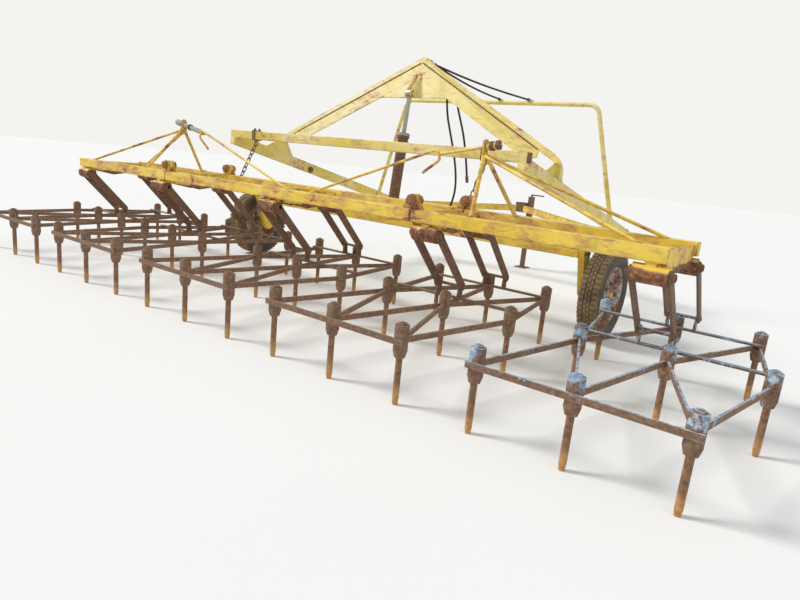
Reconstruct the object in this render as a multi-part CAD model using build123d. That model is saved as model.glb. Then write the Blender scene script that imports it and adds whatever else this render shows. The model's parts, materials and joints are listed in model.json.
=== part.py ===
"""Trailed tine harrow with a hydraulic lift frame, two folding wings and five floating tine leaves.

Millimetres. X runs along the harrow's beams, Y forwards to the hitch, Z up from the ground.
Every Y below is measured from the rear beam's centre; STAND_Y moves the whole machine so
that the origin lies on the ground under the middle of its box.
"""
from build123d import *
import os
from math import cos, hypot, radians, sin, tan

os.makedirs("parts", exist_ok=True)

# Harrow frame: two square beams, cut at the wing hinges
BEAM = 75
BEAM_ROUND = 6
BEAM_TOP = 900
BEAM_Z = BEAM_TOP - BEAM / 2
FAR_Y = 608
HINGE_X = 1279
HINGE_RISE = 50
HINGE_Z = BEAM_TOP + HINGE_RISE
SPLIT = 4
WING_END = 2744
PLATE = 12

# Hinge lugs on top of the beams
LUG_R = 38
LUG_FOOT = 55
HINGE_PIN_R = 16
LUG_GAP = 0.5
WING_LUG = 35
RUN = 0.5

# Sleeves on necks under the beams, and the pins that turn in them
SLEEVE_Z = 765
SLEEVE_R = 48
SLEEVE_L = 170
SLEEVE_PIN_R = 18
NECK_WIDE = 48
NECK_DEEP = 56

# Cross plates between the beams
CROSS_TOP = 885
CROSS_DROP = 85
CROSS_BELLY = 130

# Arms from the sleeves down to the leaves
ARM_REACH = 330
ARM_END_Z = 430
ARM_THICK = 12
ARM_OUT = SLEEVE_L / 2 + LUG_GAP + ARM_THICK / 2
ARM_DEEP = 56
ARM_HEAD_R = 34
EYE_R = 28
PIN_END = 18
LEAF_PIN_R = 10

# Tine leaves: three rows of three tines on flat bars
TINE_PITCH = 450
ROW_SHIFT = TINE_PITCH / 3
ROW_Y = (-680, 160, 1000)
LEAF_BAR_DEEP = 30
LEAF_BAR_THICK = 12
LEAF_BAR_TOP = 345
SOCKET_R = 36
SOCKET_LOW = 245
SOCKET_TOP = 400
SOCKET_BELL = 32
SOCKET_FOOT_R = 27
NUT_R = 25
NUT_H = 18
TINE_R = 17
TINE_POINT = 70
TINE_TIP_R = 7
SADDLE_WIDE = 40
SADDLE_THICK = 10
SADDLE_LAP = 15
LUG_HEAD_R = 20

# Each leaf: its number, middle of its rear row, middle of its sleeves, side that row 2 is set to
LEAVES = (
    (1, -2640, -2672, -1),
    (2, -1320, -1390, -1),
    (3, 0, 0, 1),
    (4, 1320, 1390, 1),
    (5, 2640, 2672, 1),
)

# King posts, stay rods and tie rods over the beams
APEX_X = 1550
APEX_Y = FAR_Y / 2
APEX_Z = 1300
POST_FOOT_X = 1670
POST_R = 13
STAY_R = 10
STAY_END_X = 2690
TIE_R = 9
TIE_Y = APEX_Y - 35
TIE_START_Z = 868
TIE_END = (1225, 1262)
TIE_LUG = 36
HOOK_GAP = 66
HOOK_TAIL = 150
HOOK_SPREAD = 17
HOOK_BEND = 26
APEX_WIDE = 56
APEX_HIGH = 100
SHORT_ROD = 350
SHORT_ROD_FALL = 68
SHORT_ROD_END = 95
ADJUSTER_R = 20
ADJUSTER_L = 68
PIPE_SLEEVE_R = 20
PIPE_SLEEVE_L = 300

# Lift frame: pivot at the front, cross beam over the harrow, gantry for the cylinder
PIVOT_Y = 3350
PIVOT_Z = 670
PIVOT_R = 25
ARM_X = 1530
LIFT_ARM_WIDE = 60
LIFT_ARM_DEEP = 100
LIFT_ARM_REAR_Y = 830
LIFT_ARM_REAR_Z = 1228
CROSS_Y = 870
CROSS_LOW = 1235
CHAIN_X = 1225
CHAIN_TOP_Z = 1213
CHAIN_LOW_Y = 690
CHAIN_LOW_Z = 862
CHAIN_PIN_R = 8
CHAIN_LUG_R = 12
CHAIN_LUG_FOOT = 16
CHAIN_LUG_THICK = 8
CHAIN_LINKS = 9
LINK_BAR = 9.7
LINK_SLACK = 0.3
LINK_INSIDE = 20

# Gantry, drawn in its own leaning plane: u along X, v up the slope
GANTRY_Y = 1400
GANTRY_Z = 1150
GANTRY_LEAN = 17.9
GANTRY_FOOT = 1560
GANTRY_FOOT_LOW = 90
GANTRY_BEND = 150
GANTRY_PEAK = 997
GANTRY_RAIL = 45
GANTRY_DEEP = 165
GANTRY_WEB = 10
GANTRY_FLANGE = 60
GANTRY_BEND_R = 170
WEB_END = 1340
WEB_CORNER = 90
WEB_NOSE = 60
GUSSET_BELOW_PIN = 28
GUSSET_LUG_RISE = 190

# Cylinder between the axle beam and the gantry's peak
CYL_LOW = (1450, 800)
CYL_TOP = (1545, 1760)
CYL_PIN_R = 16
TOP_EYE_BORE = 22
BARREL_R = 48
BARREL_L = 620
BARREL_BORE_FOOT = 85
COLLAR = 45
PORT_R = 13
PORT_L = 22
ROD_R = 20
ROD_FOOT = BARREL_BORE_FOOT + 35

# Hoop that carries the hoses over the front of the lift frame
HOOP_Y = 3050
HOOP_FOOT_X = 1515
HOOP_TOP_X = 1160
HOOP_TOP_Z = 1885
HOOP_FOOT_Z = 628
HOOP_R = 22
HOOP_BEND = 110

# Hydraulic hoses, as points along each from its socket on the lift frame
HOSE_R = 9
HOSE_SOCKET_R = 13
HOSE_SOCKET_L = 75
HANGING_SOCKET_L = 45
COUPLING_L = 55
HOSES = {
    "hose_to_hoop_inner": [
        (40, 1770, 2065), (47, 1970, 2027), (55, 2180, 1994), (62, 2390, 1966), (70, 2600, 1944),
        (78, 2810, 1928), (85, 3015, 1918)],
    "hose_to_hoop_outer": [
        (90, 1765, 2040), (146, 1973, 2008), (202, 2182, 1981), (258, 2390, 1959),
        (314, 2599, 1942), (370, 2807, 1928), (425, 3015, 1918)],
    "hanging_hose_inner": [
        (350, 1618, 1755), (375, 1602, 1620), (437, 1598, 1451), (490, 1600, 1300),
        (530, 1604, 1150), (550, 1606, 1010), (540, 1606, 900), (520, 1606, 838)],
    "hanging_hose_outer": [
        (473, 1598, 1692), (529, 1586, 1568), (583, 1582, 1440), (617, 1582, 1318),
        (645, 1582, 1200), (664, 1582, 1100)],
}

# Chassis
AXLE_Y = 1450
AXLE_DEEP = 100
AXLE_LOW = 600
AXLE_HIGH = 740
AXLE_END = 1800
RAIL_X = 1250
RAIL_Z = PIVOT_Z
NOSE_Y = 4050
NOSE_LONG = 150
NOSE_Z = 760
NOSE_WIDE = 120
NOSE_HIGH = 120
CLEVIS_LONG = 150
CLEVIS_THICK = 22
CLEVIS_GAP = 60
CLEVIS_WIDE = 80
HITCH_PIN_R = 16

# Wheels
WHEEL_X = 1985
WHEEL_Y = 1570
TYRE_R = 350
TYRE_WIDE = 170
RIM_R = 215
LEG_THICK = 50
LEG_WIDE = 110
STUB_R = 25

# Drawbar legs of the V
DRAWBAR_X = 1150
DRAWBAR_THICK = 50

# Parking jack at the hitch
JACK_SIDE = 60
JACK_Y = NOSE_Y + 85
CRANK_R = 8
CRANK_L = 160
CRANK_RISE = 22
JACK_WALL = 5
JACK_LOW = 330
JACK_TOP = 900
JACK_FOOT = 150
JACK_PAD = 10
JACK_LEG_TOP = 560

REAR_Y = ROW_Y[0] - SOCKET_R - LEAF_BAR_THICK / 2
FRONT_Y = NOSE_Y + NOSE_LONG + CLEVIS_LONG
STAND_Y = -(REAR_Y + FRONT_Y) / 2


def save(name, *solids):
    """Write the solids of one piece, moved so that the origin is under the machine's middle."""
    moved = [Pos(0, STAND_Y, 0) * one for solid in solids for one in solid.solids()]
    shape = moved[0] if len(moved) == 1 else Compound(children=moved)
    shape.label = name
    export_step(shape, f"parts/{name}.step")


def block(x, y, z):
    """A box between two values along each axis."""
    size = [abs(b - a) for a, b in (x, y, z)]
    return Pos(sum(x) / 2, sum(y) / 2, sum(z) / 2) * Box(*size)


def flat_bar(start, end, deep, thick, side):
    """A flat bar from start to end whose thickness lies along side."""
    a, b = Vector(*start), Vector(*end)
    along = (b - a).normalized()
    face = Vector(*side) - along * Vector(*side).dot(along)
    return Plane(origin=(a + b) / 2, x_dir=along, z_dir=face) * Box((b - a).length, deep, thick)


def rod(start, end, radius):
    """A round bar between two points."""
    a, b = Vector(*start), Vector(*end)
    return Plane(origin=(a + b) / 2, z_dir=b - a) * Cylinder(radius, (b - a).length)


def along_x(x0, x1, y, z, radius):
    """A round bar along X."""
    return rod((x0, y, z), (x1, y, z), radius)


def in_yz(points, x, thick):
    """A plate cut from an outline in Y and Z, with its middle at x."""
    outline = Plane.YZ * make_face(Polyline(*points, close=True))
    return Pos(x, 0, 0) * extrude(outline, thick / 2, both=True)


def in_xz(points, y, thick):
    """A plate cut from an outline in X and Z, with its middle at y."""
    outline = Plane.XZ * make_face(Polyline(*points, close=True))
    return Pos(0, y, 0) * extrude(outline, thick / 2, both=True)


def beam(x0, x1, y):
    """A square beam along X with rounded long edges and its top at BEAM_TOP."""
    bar = block((x0, x1), (y - BEAM / 2, y + BEAM / 2), (BEAM_TOP - BEAM, BEAM_TOP))
    return fillet(bar.edges().filter_by(Axis.X), BEAM_ROUND)


def hinge_lug(side, y, thick):
    """A hinge lug that stands on the beam's end; side is +1 where its foot lies towards +X."""
    foot = [(SPLIT + LUG_FOOT, -HINGE_RISE), (SPLIT, -HINGE_RISE), (-30, -22), (-10, 36), (30, 22)]
    points = [(HINGE_X + side * x, HINGE_Z + z) for x, z in foot]
    boss = rod((HINGE_X, y - thick / 2, HINGE_Z), (HINGE_X, y + thick / 2, HINGE_Z), LUG_R)
    return in_xz(points, y, thick) + boss


def mirrored(shape):
    """The same shape on the machine's left side."""
    return mirror(shape, about=Plane.YZ)


def hanger(middle):
    """The bored sleeves that hang on a neck under each beam."""
    pieces = []
    for y in (0, FAR_Y):
        neck = block((middle - NECK_WIDE / 2, middle + NECK_WIDE / 2),
                     (y - NECK_DEEP / 2, y + NECK_DEEP / 2), (SLEEVE_Z, BEAM_TOP - BEAM))
        sleeve = along_x(middle - SLEEVE_L / 2, middle + SLEEVE_L / 2, y, SLEEVE_Z, SLEEVE_R)
        bore = along_x(middle - SLEEVE_L, middle + SLEEVE_L, y, SLEEVE_Z, SLEEVE_PIN_R + RUN)
        pieces.append(neck + sleeve - bore)
    return pieces


def cross_plate(x):
    """The plate between the two beams, deeper in its middle than at its ends."""
    rear, front = BEAM / 2, FAR_Y - BEAM / 2
    points = [(rear, CROSS_TOP), (rear, CROSS_TOP - CROSS_DROP),
              (front / 2, CROSS_TOP - CROSS_BELLY), (front, CROSS_TOP - CROSS_DROP),
              (front, CROSS_TOP)]
    return in_yz(points, x, PLATE)


def arm_pair(middle, y):
    """The pin that turns in a sleeve, with the flat arm on each of its ends."""
    reach = ARM_OUT + ARM_THICK / 2 + PIN_END
    shape = along_x(middle - reach, middle + reach, y, SLEEVE_Z, SLEEVE_PIN_R)
    for x in (middle - ARM_OUT, middle + ARM_OUT):
        top, end = (x, y, SLEEVE_Z), (x, y + ARM_REACH, ARM_END_Z)
        shape += flat_bar(top, end, ARM_DEEP, ARM_THICK, (1, 0, 0))
        for (_, eye_y, eye_z), radius in ((top, ARM_HEAD_R), (end, EYE_R)):
            shape += along_x(x - ARM_THICK / 2, x + ARM_THICK / 2, eye_y, eye_z, radius)
    return shape - along_x(middle - SLEEVE_L, middle + SLEEVE_L, y + ARM_REACH, ARM_END_Z,
                           LEAF_PIN_R + RUN)


def leaf_lugs(middle, y):
    """Two upright lugs and the pin between them, on a leaf's saddle bar."""
    reach = ARM_OUT + ARM_THICK / 2 + PIN_END / 2
    shape = along_x(middle - reach, middle + reach, y, ARM_END_Z, LEAF_PIN_R)
    half = ARM_OUT - ARM_THICK - LUG_GAP
    for x in (middle - half, middle + half):
        outline = [(y - EYE_R, LEAF_BAR_TOP), (y + EYE_R, LEAF_BAR_TOP),
                   (y + LUG_HEAD_R, ARM_END_Z), (y - LUG_HEAD_R, ARM_END_Z)]
        shape += in_yz(outline, x, ARM_THICK)
        shape += along_x(x - ARM_THICK / 2, x + ARM_THICK / 2, y, ARM_END_Z, LUG_HEAD_R)
    return shape


def saddle_ends(rear_x, y, side):
    """Where the leaf's two outer bars lie at y, with a little lap past each."""
    lean = ROW_SHIFT * (ROW_Y[2] - y) / (ROW_Y[2] - ROW_Y[1])
    outer = (-TINE_PITCH + lean - SADDLE_LAP, TINE_PITCH + lean + SADDLE_LAP)
    return [rear_x + side * x for x in outer]


def socket(x, y):
    """One tine socket: a round body that narrows to its foot, with a nut on top."""
    profile = Polyline((0, SOCKET_LOW), (SOCKET_FOOT_R, SOCKET_LOW),
                       (SOCKET_R, SOCKET_LOW + SOCKET_BELL), (SOCKET_R, SOCKET_TOP),
                       (0, SOCKET_TOP), close=True)
    body = revolve(Plane.XZ * make_face(profile), Axis.Z)
    nut = Pos(0, 0, SOCKET_TOP) * extrude(RegularPolygon(NUT_R, 6), NUT_H)
    return Pos(x, y, 0) * (body + nut)


def leaf_frame(rear_x, sleeve_x, side):
    """The zigzag of flat bars, its nine sockets and the lugs for the arms."""
    columns = [rear_x + step * TINE_PITCH * side for step in (-1, 0, 1)]
    rows = [[(x + shift * side, y) for x in columns]
            for y, shift in zip(ROW_Y, (0, ROW_SHIFT, 0))]
    middle_z = LEAF_BAR_TOP - LEAF_BAR_DEEP / 2
    rear_y = ROW_Y[0] - SOCKET_R
    half = TINE_PITCH + SOCKET_R
    shape = flat_bar((rear_x - half, rear_y, middle_z), (rear_x + half, rear_y, middle_z),
                     LEAF_BAR_DEEP, LEAF_BAR_THICK, (0, 1, 0))
    for outer in (rows[0], rows[2]):
        for k, (x, y) in enumerate(rows[1]):
            for ox, oy in outer[k:k + 2]:
                across = (y - oy, ox - x, 0)
                shape += flat_bar((x, y, middle_z), (ox, oy, middle_z),
                                  LEAF_BAR_DEEP, LEAF_BAR_THICK, across)
    for x, y in rows[0] + rows[1] + rows[2]:
        shape += socket(x, y)
    for y in (ARM_REACH, FAR_Y + ARM_REACH):
        shape += block(saddle_ends(rear_x, y, side), (y - SADDLE_WIDE / 2, y + SADDLE_WIDE / 2),
                       (LEAF_BAR_TOP - 1, LEAF_BAR_TOP + SADDLE_THICK))
        shape += leaf_lugs(sleeve_x, y)
    return shape


def tine(x, y):
    """One spike under its socket: a round shank with a short taper to a blunt tip."""
    profile = Polyline((0, 0), (TINE_TIP_R, 0), (TINE_R, TINE_POINT), (TINE_R, SOCKET_LOW),
                       (0, SOCKET_LOW), close=True)
    return Pos(x, y, 0) * revolve(Plane.XZ * make_face(profile), Axis.Z)


def leaf_tines(rear_x, side):
    """The nine spikes of a leaf."""
    shifts = (0, ROW_SHIFT, 0)
    return [tine(rear_x + (step * TINE_PITCH + shift) * side, y)
            for y, shift in zip(ROW_Y, shifts) for step in (-1, 0, 1)]


def centre_beam(y):
    """A centre beam with a pair of hinge lugs and a hinge pin at each end."""
    end = HINGE_X - SPLIT
    shape = beam(-end, end, y)
    out = WING_LUG / 2 + LUG_GAP + PLATE / 2
    for offset in (-out, out):
        lug = hinge_lug(-1, y + offset, PLATE)
        shape += lug + mirrored(lug)
    reach = out + PLATE
    pin = rod((HINGE_X, y - reach, HINGE_Z), (HINGE_X, y + reach, HINGE_Z), HINGE_PIN_R)
    return shape + pin + mirrored(pin)


def wing_beam(y):
    """A wing beam with its hinge lug, bored for the hinge pin."""
    shape = beam(HINGE_X + SPLIT, WING_END, y) + hinge_lug(1, y, WING_LUG)
    return shape - rod((HINGE_X, y - BEAM, HINGE_Z), (HINGE_X, y + BEAM, HINGE_Z),
                       HINGE_PIN_R + RUN)


def chain_lugs(x, pin, root):
    """Two lugs and a pin for a chain's end link; root is the middle of their welded foot."""
    (y, z), (foot_y, foot_z) = pin, root
    length = hypot(foot_y - y, foot_z - z)
    side_y, side_z = (foot_z - z) / length, (y - foot_y) / length
    outline = []
    for at_y, at_z, half in ((y, z, CHAIN_LUG_R), (foot_y, foot_z, CHAIN_LUG_FOOT),
                             (foot_y, foot_z, -CHAIN_LUG_FOOT), (y, z, -CHAIN_LUG_R)):
        outline.append((at_y + half * side_y, at_z + half * side_z))
    out = LINK_BAR / 2 + CHAIN_LUG_THICK
    reach = out + CHAIN_LUG_THICK
    shape = along_x(x - reach, x + reach, y, z, CHAIN_PIN_R)
    for lug_x in (x - out, x + out):
        shape += in_yz(outline, lug_x, CHAIN_LUG_THICK)
        shape += along_x(lug_x - CHAIN_LUG_THICK / 2, lug_x + CHAIN_LUG_THICK / 2, y, z,
                         CHAIN_LUG_R)
    return shape


def chain_link(place, long_inside):
    """One link as a ring with clipped corners."""
    ox, oy = long_inside / 2 + LINK_BAR, LINK_INSIDE / 2 + LINK_BAR
    ix, iy = long_inside / 2, LINK_INSIDE / 2

    def ring(hx, hy, cut):
        return make_face(Polyline((-hx + cut, -hy), (hx - cut, -hy), (hx, -hy + cut),
                                  (hx, hy - cut), (hx - cut, hy), (-hx + cut, hy),
                                  (-hx, hy - cut), (-hx, -hy + cut), close=True))

    flat = ring(ox, oy, 11) - ring(ix, iy, 6)
    return place * extrude(flat, LINK_BAR / 2, both=True)


def lift_chain(x):
    """A chain from the cross beam's pin down to the front harrow beam."""
    top = Vector(x, CROSS_Y, CHAIN_TOP_Z)
    low = Vector(x, CHAIN_LOW_Y, CHAIN_LOW_Z)
    run = (low - top).normalized()
    inside = ((low - top).length + 2 * CHAIN_PIN_R) / CHAIN_LINKS
    links = []
    for k in range(CHAIN_LINKS):
        middle = top + run * (inside * (k + 0.5) - CHAIN_PIN_R)
        face = Vector(1, 0, 0) if k % 2 == 0 else run.cross(Vector(1, 0, 0))
        place = Plane(origin=middle, x_dir=run, z_dir=face)
        links.append(chain_link(place, inside + LINK_SLACK))
    return links


def tie_rod():
    """The right tie rod with the lug on the middle cross plate and the open hook at its end."""
    start_x = SLEEVE_L / 2 + RUN + PLATE
    start = Vector(start_x + PLATE / 2, TIE_Y, TIE_START_Z)
    end = Vector(TIE_END[0], TIE_Y, TIE_END[1])
    run = (end - start).normalized()
    down = run.cross(Vector(0, -1, 0))
    turn = end + down * HOOK_GAP
    spread = radians(HOOK_SPREAD)
    tail = turn + (down * sin(spread) - run * cos(spread)) * HOOK_TAIL
    path = FilletPolyline(start, end, turn, tail, radius=HOOK_BEND)
    bar = sweep(Plane(origin=start, z_dir=run) * Circle(TIE_R), path=path)
    lug = block((start_x, start_x + PLATE), (TIE_Y - TIE_LUG / 2, TIE_Y + TIE_LUG / 2),
                (TIE_START_Z - TIE_LUG, CROSS_TOP))
    return bar + lug


def short_rod(radius, start, length):
    """A round length on the line of the short hooking rod, from start along it."""
    high = Vector(APEX_X, APEX_Y, APEX_Z)
    run = Vector(-SHORT_ROD, 0, -SHORT_ROD_FALL).normalized()
    return rod(high + run * start, high + run * (start + length), radius)


def wing_beams():
    """The right wing's two beams, without their lugs."""
    return [beam(HINGE_X + SPLIT, WING_END, y) for y in (0, FAR_Y)]


def king_post():
    """The right wing's tripod: two legs, the plate at their apex and the short hooking rod."""
    x = APEX_X - PLATE
    half = APEX_WIDE / 2
    outline = [(APEX_Y - half, APEX_Z - APEX_HIGH + 15), (APEX_Y + half, APEX_Z - APEX_HIGH + 15),
               (APEX_Y + half, APEX_Z + 15), (APEX_Y - half, APEX_Z + 15)]
    shape = in_yz(outline, x, PLATE)
    shape += along_x(x - PLATE / 2, x + PLATE / 2, APEX_Y, APEX_Z + 15, half)
    for y, cut in zip((0, FAR_Y), wing_beams()):
        foot, top = (POST_FOOT_X, y, BEAM_Z), (x, APEX_Y, APEX_Z - APEX_HIGH / 3)
        shape += rod(foot, top, POST_R) - cut
    shape += short_rod(TIE_R, -SHORT_ROD_END, SHORT_ROD_END + SHORT_ROD)
    return shape + short_rod(ADJUSTER_R, -ADJUSTER_L, ADJUSTER_L)


def pipe_sleeve():
    """The loose grey pipe over the short rod; only the left wing has one."""
    sleeve = short_rod(PIPE_SLEEVE_R, PLATE, PIPE_SLEEVE_L) - king_post()
    return max(sleeve.solids(), key=lambda one: one.volume)


def stay_rods():
    """The right wing's two stays from the apex plate out to the beams' ends."""
    post = king_post()
    rods = []
    for y, side, cut in zip((0, FAR_Y), (-1, 1), wing_beams()):
        start = (APEX_X - PLATE, APEX_Y + side * APEX_WIDE / 3, APEX_Z - APEX_HIGH / 2)
        stay = rod(start, (STAY_END_X, y, BEAM_Z), STAY_R) - post - cut
        rods.append(max(stay.solids(), key=lambda one: one.volume))
    return rods


def lift_arm():
    """The right lift arm with its pivot eye."""
    shape = flat_bar((ARM_X, LIFT_ARM_REAR_Y, LIFT_ARM_REAR_Z), (ARM_X, PIVOT_Y, PIVOT_Z),
                     LIFT_ARM_DEEP, LIFT_ARM_WIDE, (1, 0, 0))
    inner, outer = ARM_X - LIFT_ARM_WIDE / 2, ARM_X + LIFT_ARM_WIDE / 2
    shape += along_x(inner, outer, PIVOT_Y, PIVOT_Z, LIFT_ARM_DEEP / 2 + 8)
    return shape - along_x(inner - 9, outer + 9, PIVOT_Y, PIVOT_Z, PIVOT_R + RUN)


GANTRY_PLANE = Plane(origin=(0, GANTRY_Y, GANTRY_Z), x_dir=(1, 0, 0),
                     z_dir=(0, -cos(radians(GANTRY_LEAN)), sin(radians(GANTRY_LEAN))))
GANTRY_SLOPE = (GANTRY_PEAK - GANTRY_BEND) / GANTRY_FOOT


def gantry_edge(x, inset):
    """Height in the gantry's plane of the right leg's edge at x, moved inwards by inset."""
    return GANTRY_PEAK - inset * hypot(1, GANTRY_SLOPE) - GANTRY_SLOPE * x


def gantry_line(inset):
    """Corner points of the right leg's outline, moved inwards by inset."""
    foot_x = GANTRY_FOOT - inset
    return [(foot_x, -GANTRY_FOOT_LOW), (foot_x, gantry_edge(foot_x, inset)),
            (1, gantry_edge(1, inset))]


def plane_y(z):
    """Y of the gantry's rear face at the height z."""
    return GANTRY_Y + (z - GANTRY_Z) * tan(radians(GANTRY_LEAN))


def gantry_leg():
    """The right gantry leg: a rail bent down to its foot, and the web plate under it."""
    outer = FilletPolyline(*gantry_line(0), radius=GANTRY_BEND_R)
    inner = FilletPolyline(*gantry_line(GANTRY_RAIL), radius=GANTRY_BEND_R - GANTRY_RAIL)
    ends = [Line(gantry_line(0)[k], gantry_line(GANTRY_RAIL)[k]) for k in (0, 2)]
    rail = extrude(make_face(outer.edges() + inner.edges() + ends), -GANTRY_FLANGE)
    corner = WEB_END - WEB_CORNER
    points = [(1, gantry_edge(1, GANTRY_RAIL)), (WEB_END, gantry_edge(WEB_END, GANTRY_RAIL)),
              (WEB_END, gantry_edge(WEB_END, GANTRY_RAIL) - WEB_NOSE),
              (corner, gantry_edge(corner, GANTRY_DEEP)), (1, gantry_edge(1, GANTRY_DEEP))]
    web = extrude(make_face(Polyline(*points, close=True)), -GANTRY_WEB)
    leg = GANTRY_PLANE * (rail + web) - lift_arm()
    return max(leg.solids(), key=lambda one: one.volume)


def peak_gusset():
    """The plate under the gantry's peak, with the two tall lugs and the pin for the cylinder."""
    y, z = CYL_TOP
    low = (z - GUSSET_BELOW_PIN - GANTRY_Z) / cos(radians(GANTRY_LEAN))
    peak = gantry_edge(0, GANTRY_DEEP)
    half = (peak - low) / GANTRY_SLOPE
    face = make_face(Polyline((-half, low), (0, peak), (half, low), close=True))
    shape = GANTRY_PLANE * extrude(face, -PLATE)
    foot, head = z - GUSSET_BELOW_PIN, z + GUSSET_LUG_RISE
    for x in (-26, 26):
        outline = [(y - 30, z - 14), (plane_y(foot) + 4, foot), (plane_y(head) + 4, head),
                   (y - 24, z + 24)]
        lug = in_yz(outline, x, PLATE) - GANTRY_PLANE * Pos(0, low, -4) * Box(200, 2000, 8)
        shape += lug
        shape += along_x(x - PLATE / 2, x + PLATE / 2, y, z, 34)
    return shape + along_x(-40, 40, y, z, CYL_PIN_R)


def cylinder_axis():
    """Unit direction from the cylinder's lower pin to its upper pin, and the distance."""
    dy, dz = CYL_TOP[0] - CYL_LOW[0], CYL_TOP[1] - CYL_LOW[1]
    length = hypot(dy, dz)
    return Vector(0, dy / length, dz / length), length


def cylinder_barrel():
    """The barrel with its lower eye, its collar, its port and the bore for the rod."""
    run, _ = cylinder_axis()
    low = Vector(0, *CYL_LOW)
    top = low + run * BARREL_L
    shape = rod(low + run * 30, top, BARREL_R)
    shape += rod(top - run * COLLAR, top, BARREL_R + 8)
    port = top - run * COLLAR * 2
    shape += rod(port, port + Vector(BARREL_R + PORT_L, 0, 0), PORT_R)
    shape += along_x(-29, 29, *CYL_LOW, 40)
    shape -= rod(low + run * BARREL_BORE_FOOT, top + run * 5, ROD_R + RUN)
    return shape - along_x(-40, 40, *CYL_LOW, CYL_PIN_R + RUN)


def cylinder_rod():
    """The rod with its eye; the eye's bore is wide because the pin swings a little in it."""
    run, length = cylinder_axis()
    low, top = Vector(0, *CYL_LOW), Vector(0, *CYL_TOP)
    shape = rod(low + run * ROD_FOOT, top - run * 30, ROD_R)
    shape += along_x(-19, 19, *CYL_TOP, 38)
    return shape - along_x(-40, 40, *CYL_TOP, TOP_EYE_BORE)


def hose_hoop():
    """The splayed hoop of round pipe on the lift arms, with the sockets of two hoses."""
    points = [(-HOOP_FOOT_X, HOOP_Y, HOOP_FOOT_Z), (-HOOP_TOP_X, HOOP_Y, HOOP_TOP_Z),
              (HOOP_TOP_X, HOOP_Y, HOOP_TOP_Z), (HOOP_FOOT_X, HOOP_Y, HOOP_FOOT_Z)]
    path = FilletPolyline(*points, radius=HOOP_BEND)
    ends = Vector(*points[1]) - Vector(*points[0])
    pipe = sweep(Plane(origin=points[0], z_dir=ends) * Circle(HOOP_R), path=path)
    for arm in (lift_arm(), mirrored(lift_arm())):
        pipe -= arm
        pipe = max(pipe.solids(), key=lambda one: one.volume)
    for name in ("hose_to_hoop_inner", "hose_to_hoop_outer"):
        pipe += hose_socket(HOSES[name][-1], HOSES[name][-2], HOSE_SOCKET_L)
    return pipe


def hose_socket(end, inner, length):
    """The round socket that takes a hose's end, in line with its last run."""
    end, inner = Vector(*end), Vector(*inner)
    return rod(end, end + (end - inner).normalized() * length, HOSE_SOCKET_R)


def hose(name):
    """A hose along its route: straight runs joined by arcs as large as the runs allow."""
    points = [Vector(*point) for point in HOSES[name]]
    runs = [b - a for a, b in zip(points, points[1:])]
    radii = []
    for before, after in zip(runs, runs[1:]):
        half_turn = radians(before.get_angle(after)) / 2
        radii.append(0.45 * min(before.length, after.length) / tan(half_turn))
    print(name, "length", round(sum(run.length for run in runs)), "radii",
          [round(radius) for radius in radii])
    path = FilletPolyline(*points, radius=radii)
    return sweep(Plane(origin=points[0], z_dir=runs[0]) * Circle(HOSE_R), path=path)


def coupling(name):
    """The hexagonal coupling on the lower end of a hanging hose."""
    end, inner = Vector(*HOSES[name][-1]), Vector(*HOSES[name][-2])
    place = Plane(origin=end, z_dir=end - inner)
    return place * (extrude(RegularPolygon(HOSE_SOCKET_R + 3, 6), COUPLING_L / 2)
                    + extrude(Circle(HOSE_SOCKET_R), COUPLING_L))


def axle_beam():
    """The axle beam with the lugs and pin for the cylinder's lower eye."""
    shape = block((-AXLE_END, AXLE_END), (AXLE_Y - AXLE_DEEP / 2, AXLE_Y + AXLE_DEEP / 2),
                  (AXLE_LOW, AXLE_HIGH))
    shape = fillet(shape.edges().filter_by(Axis.X), BEAM_ROUND)
    y, z = CYL_LOW
    for x in (-36, 36):
        outline = [(y - 45, AXLE_HIGH - 5), (y + 45, AXLE_HIGH - 5), (y + 28, z), (y - 28, z)]
        shape += in_yz(outline, x, PLATE)
        shape += along_x(x - PLATE / 2, x + PLATE / 2, y, z, 28)
    return shape + along_x(-50, 50, y, z, CYL_PIN_R)


def wheel_leg():
    """The right wheel's leg, bolted to the axle beam's end, with its stub axle."""
    x = AXLE_END + LEG_THICK / 2
    top, hub = (x, AXLE_Y, (AXLE_LOW + AXLE_HIGH) / 2), (x, WHEEL_Y, TYRE_R)
    shape = flat_bar(top, hub, LEG_WIDE, LEG_THICK, (1, 0, 0))
    for _, y, z in (top, hub):
        shape += along_x(AXLE_END, AXLE_END + LEG_THICK, y, z, LEG_WIDE / 2)
    return shape + along_x(AXLE_END, WHEEL_X + 60, WHEEL_Y, TYRE_R, STUB_R)


def spun(profile, x):
    """A shape of revolution about the wheel's axle, from points of width and radius."""
    face = make_face(Polyline(*profile, close=True))
    return Pos(x, WHEEL_Y, TYRE_R) * revolve(face, Axis.X)


def tyre():
    """The right tyre: bulging walls between the rim and a flat tread."""
    half = TYRE_WIDE / 2
    middle = (RIM_R + TYRE_R) / 2
    profile = [(-half + 20, RIM_R + 0.3), (-half, middle), (-half + 30, TYRE_R),
               (half - 30, TYRE_R), (half, middle), (half - 20, RIM_R + 0.3)]
    return spun(profile, WHEEL_X)


def rim():
    """The right rim: a well, a dished disc and the hub on the stub axle."""
    profile = [(-66, RIM_R), (66, RIM_R), (66, RIM_R - 12), (15, RIM_R - 34), (15, 150),
               (30, 105), (30, 62), (50, 55), (50, STUB_R + RUN), (-50, STUB_R + RUN),
               (-50, 55), (18, 62), (18, 105), (3, 150), (3, RIM_R - 34), (-66, RIM_R - 12)]
    return spun(profile, WHEEL_X)


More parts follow.
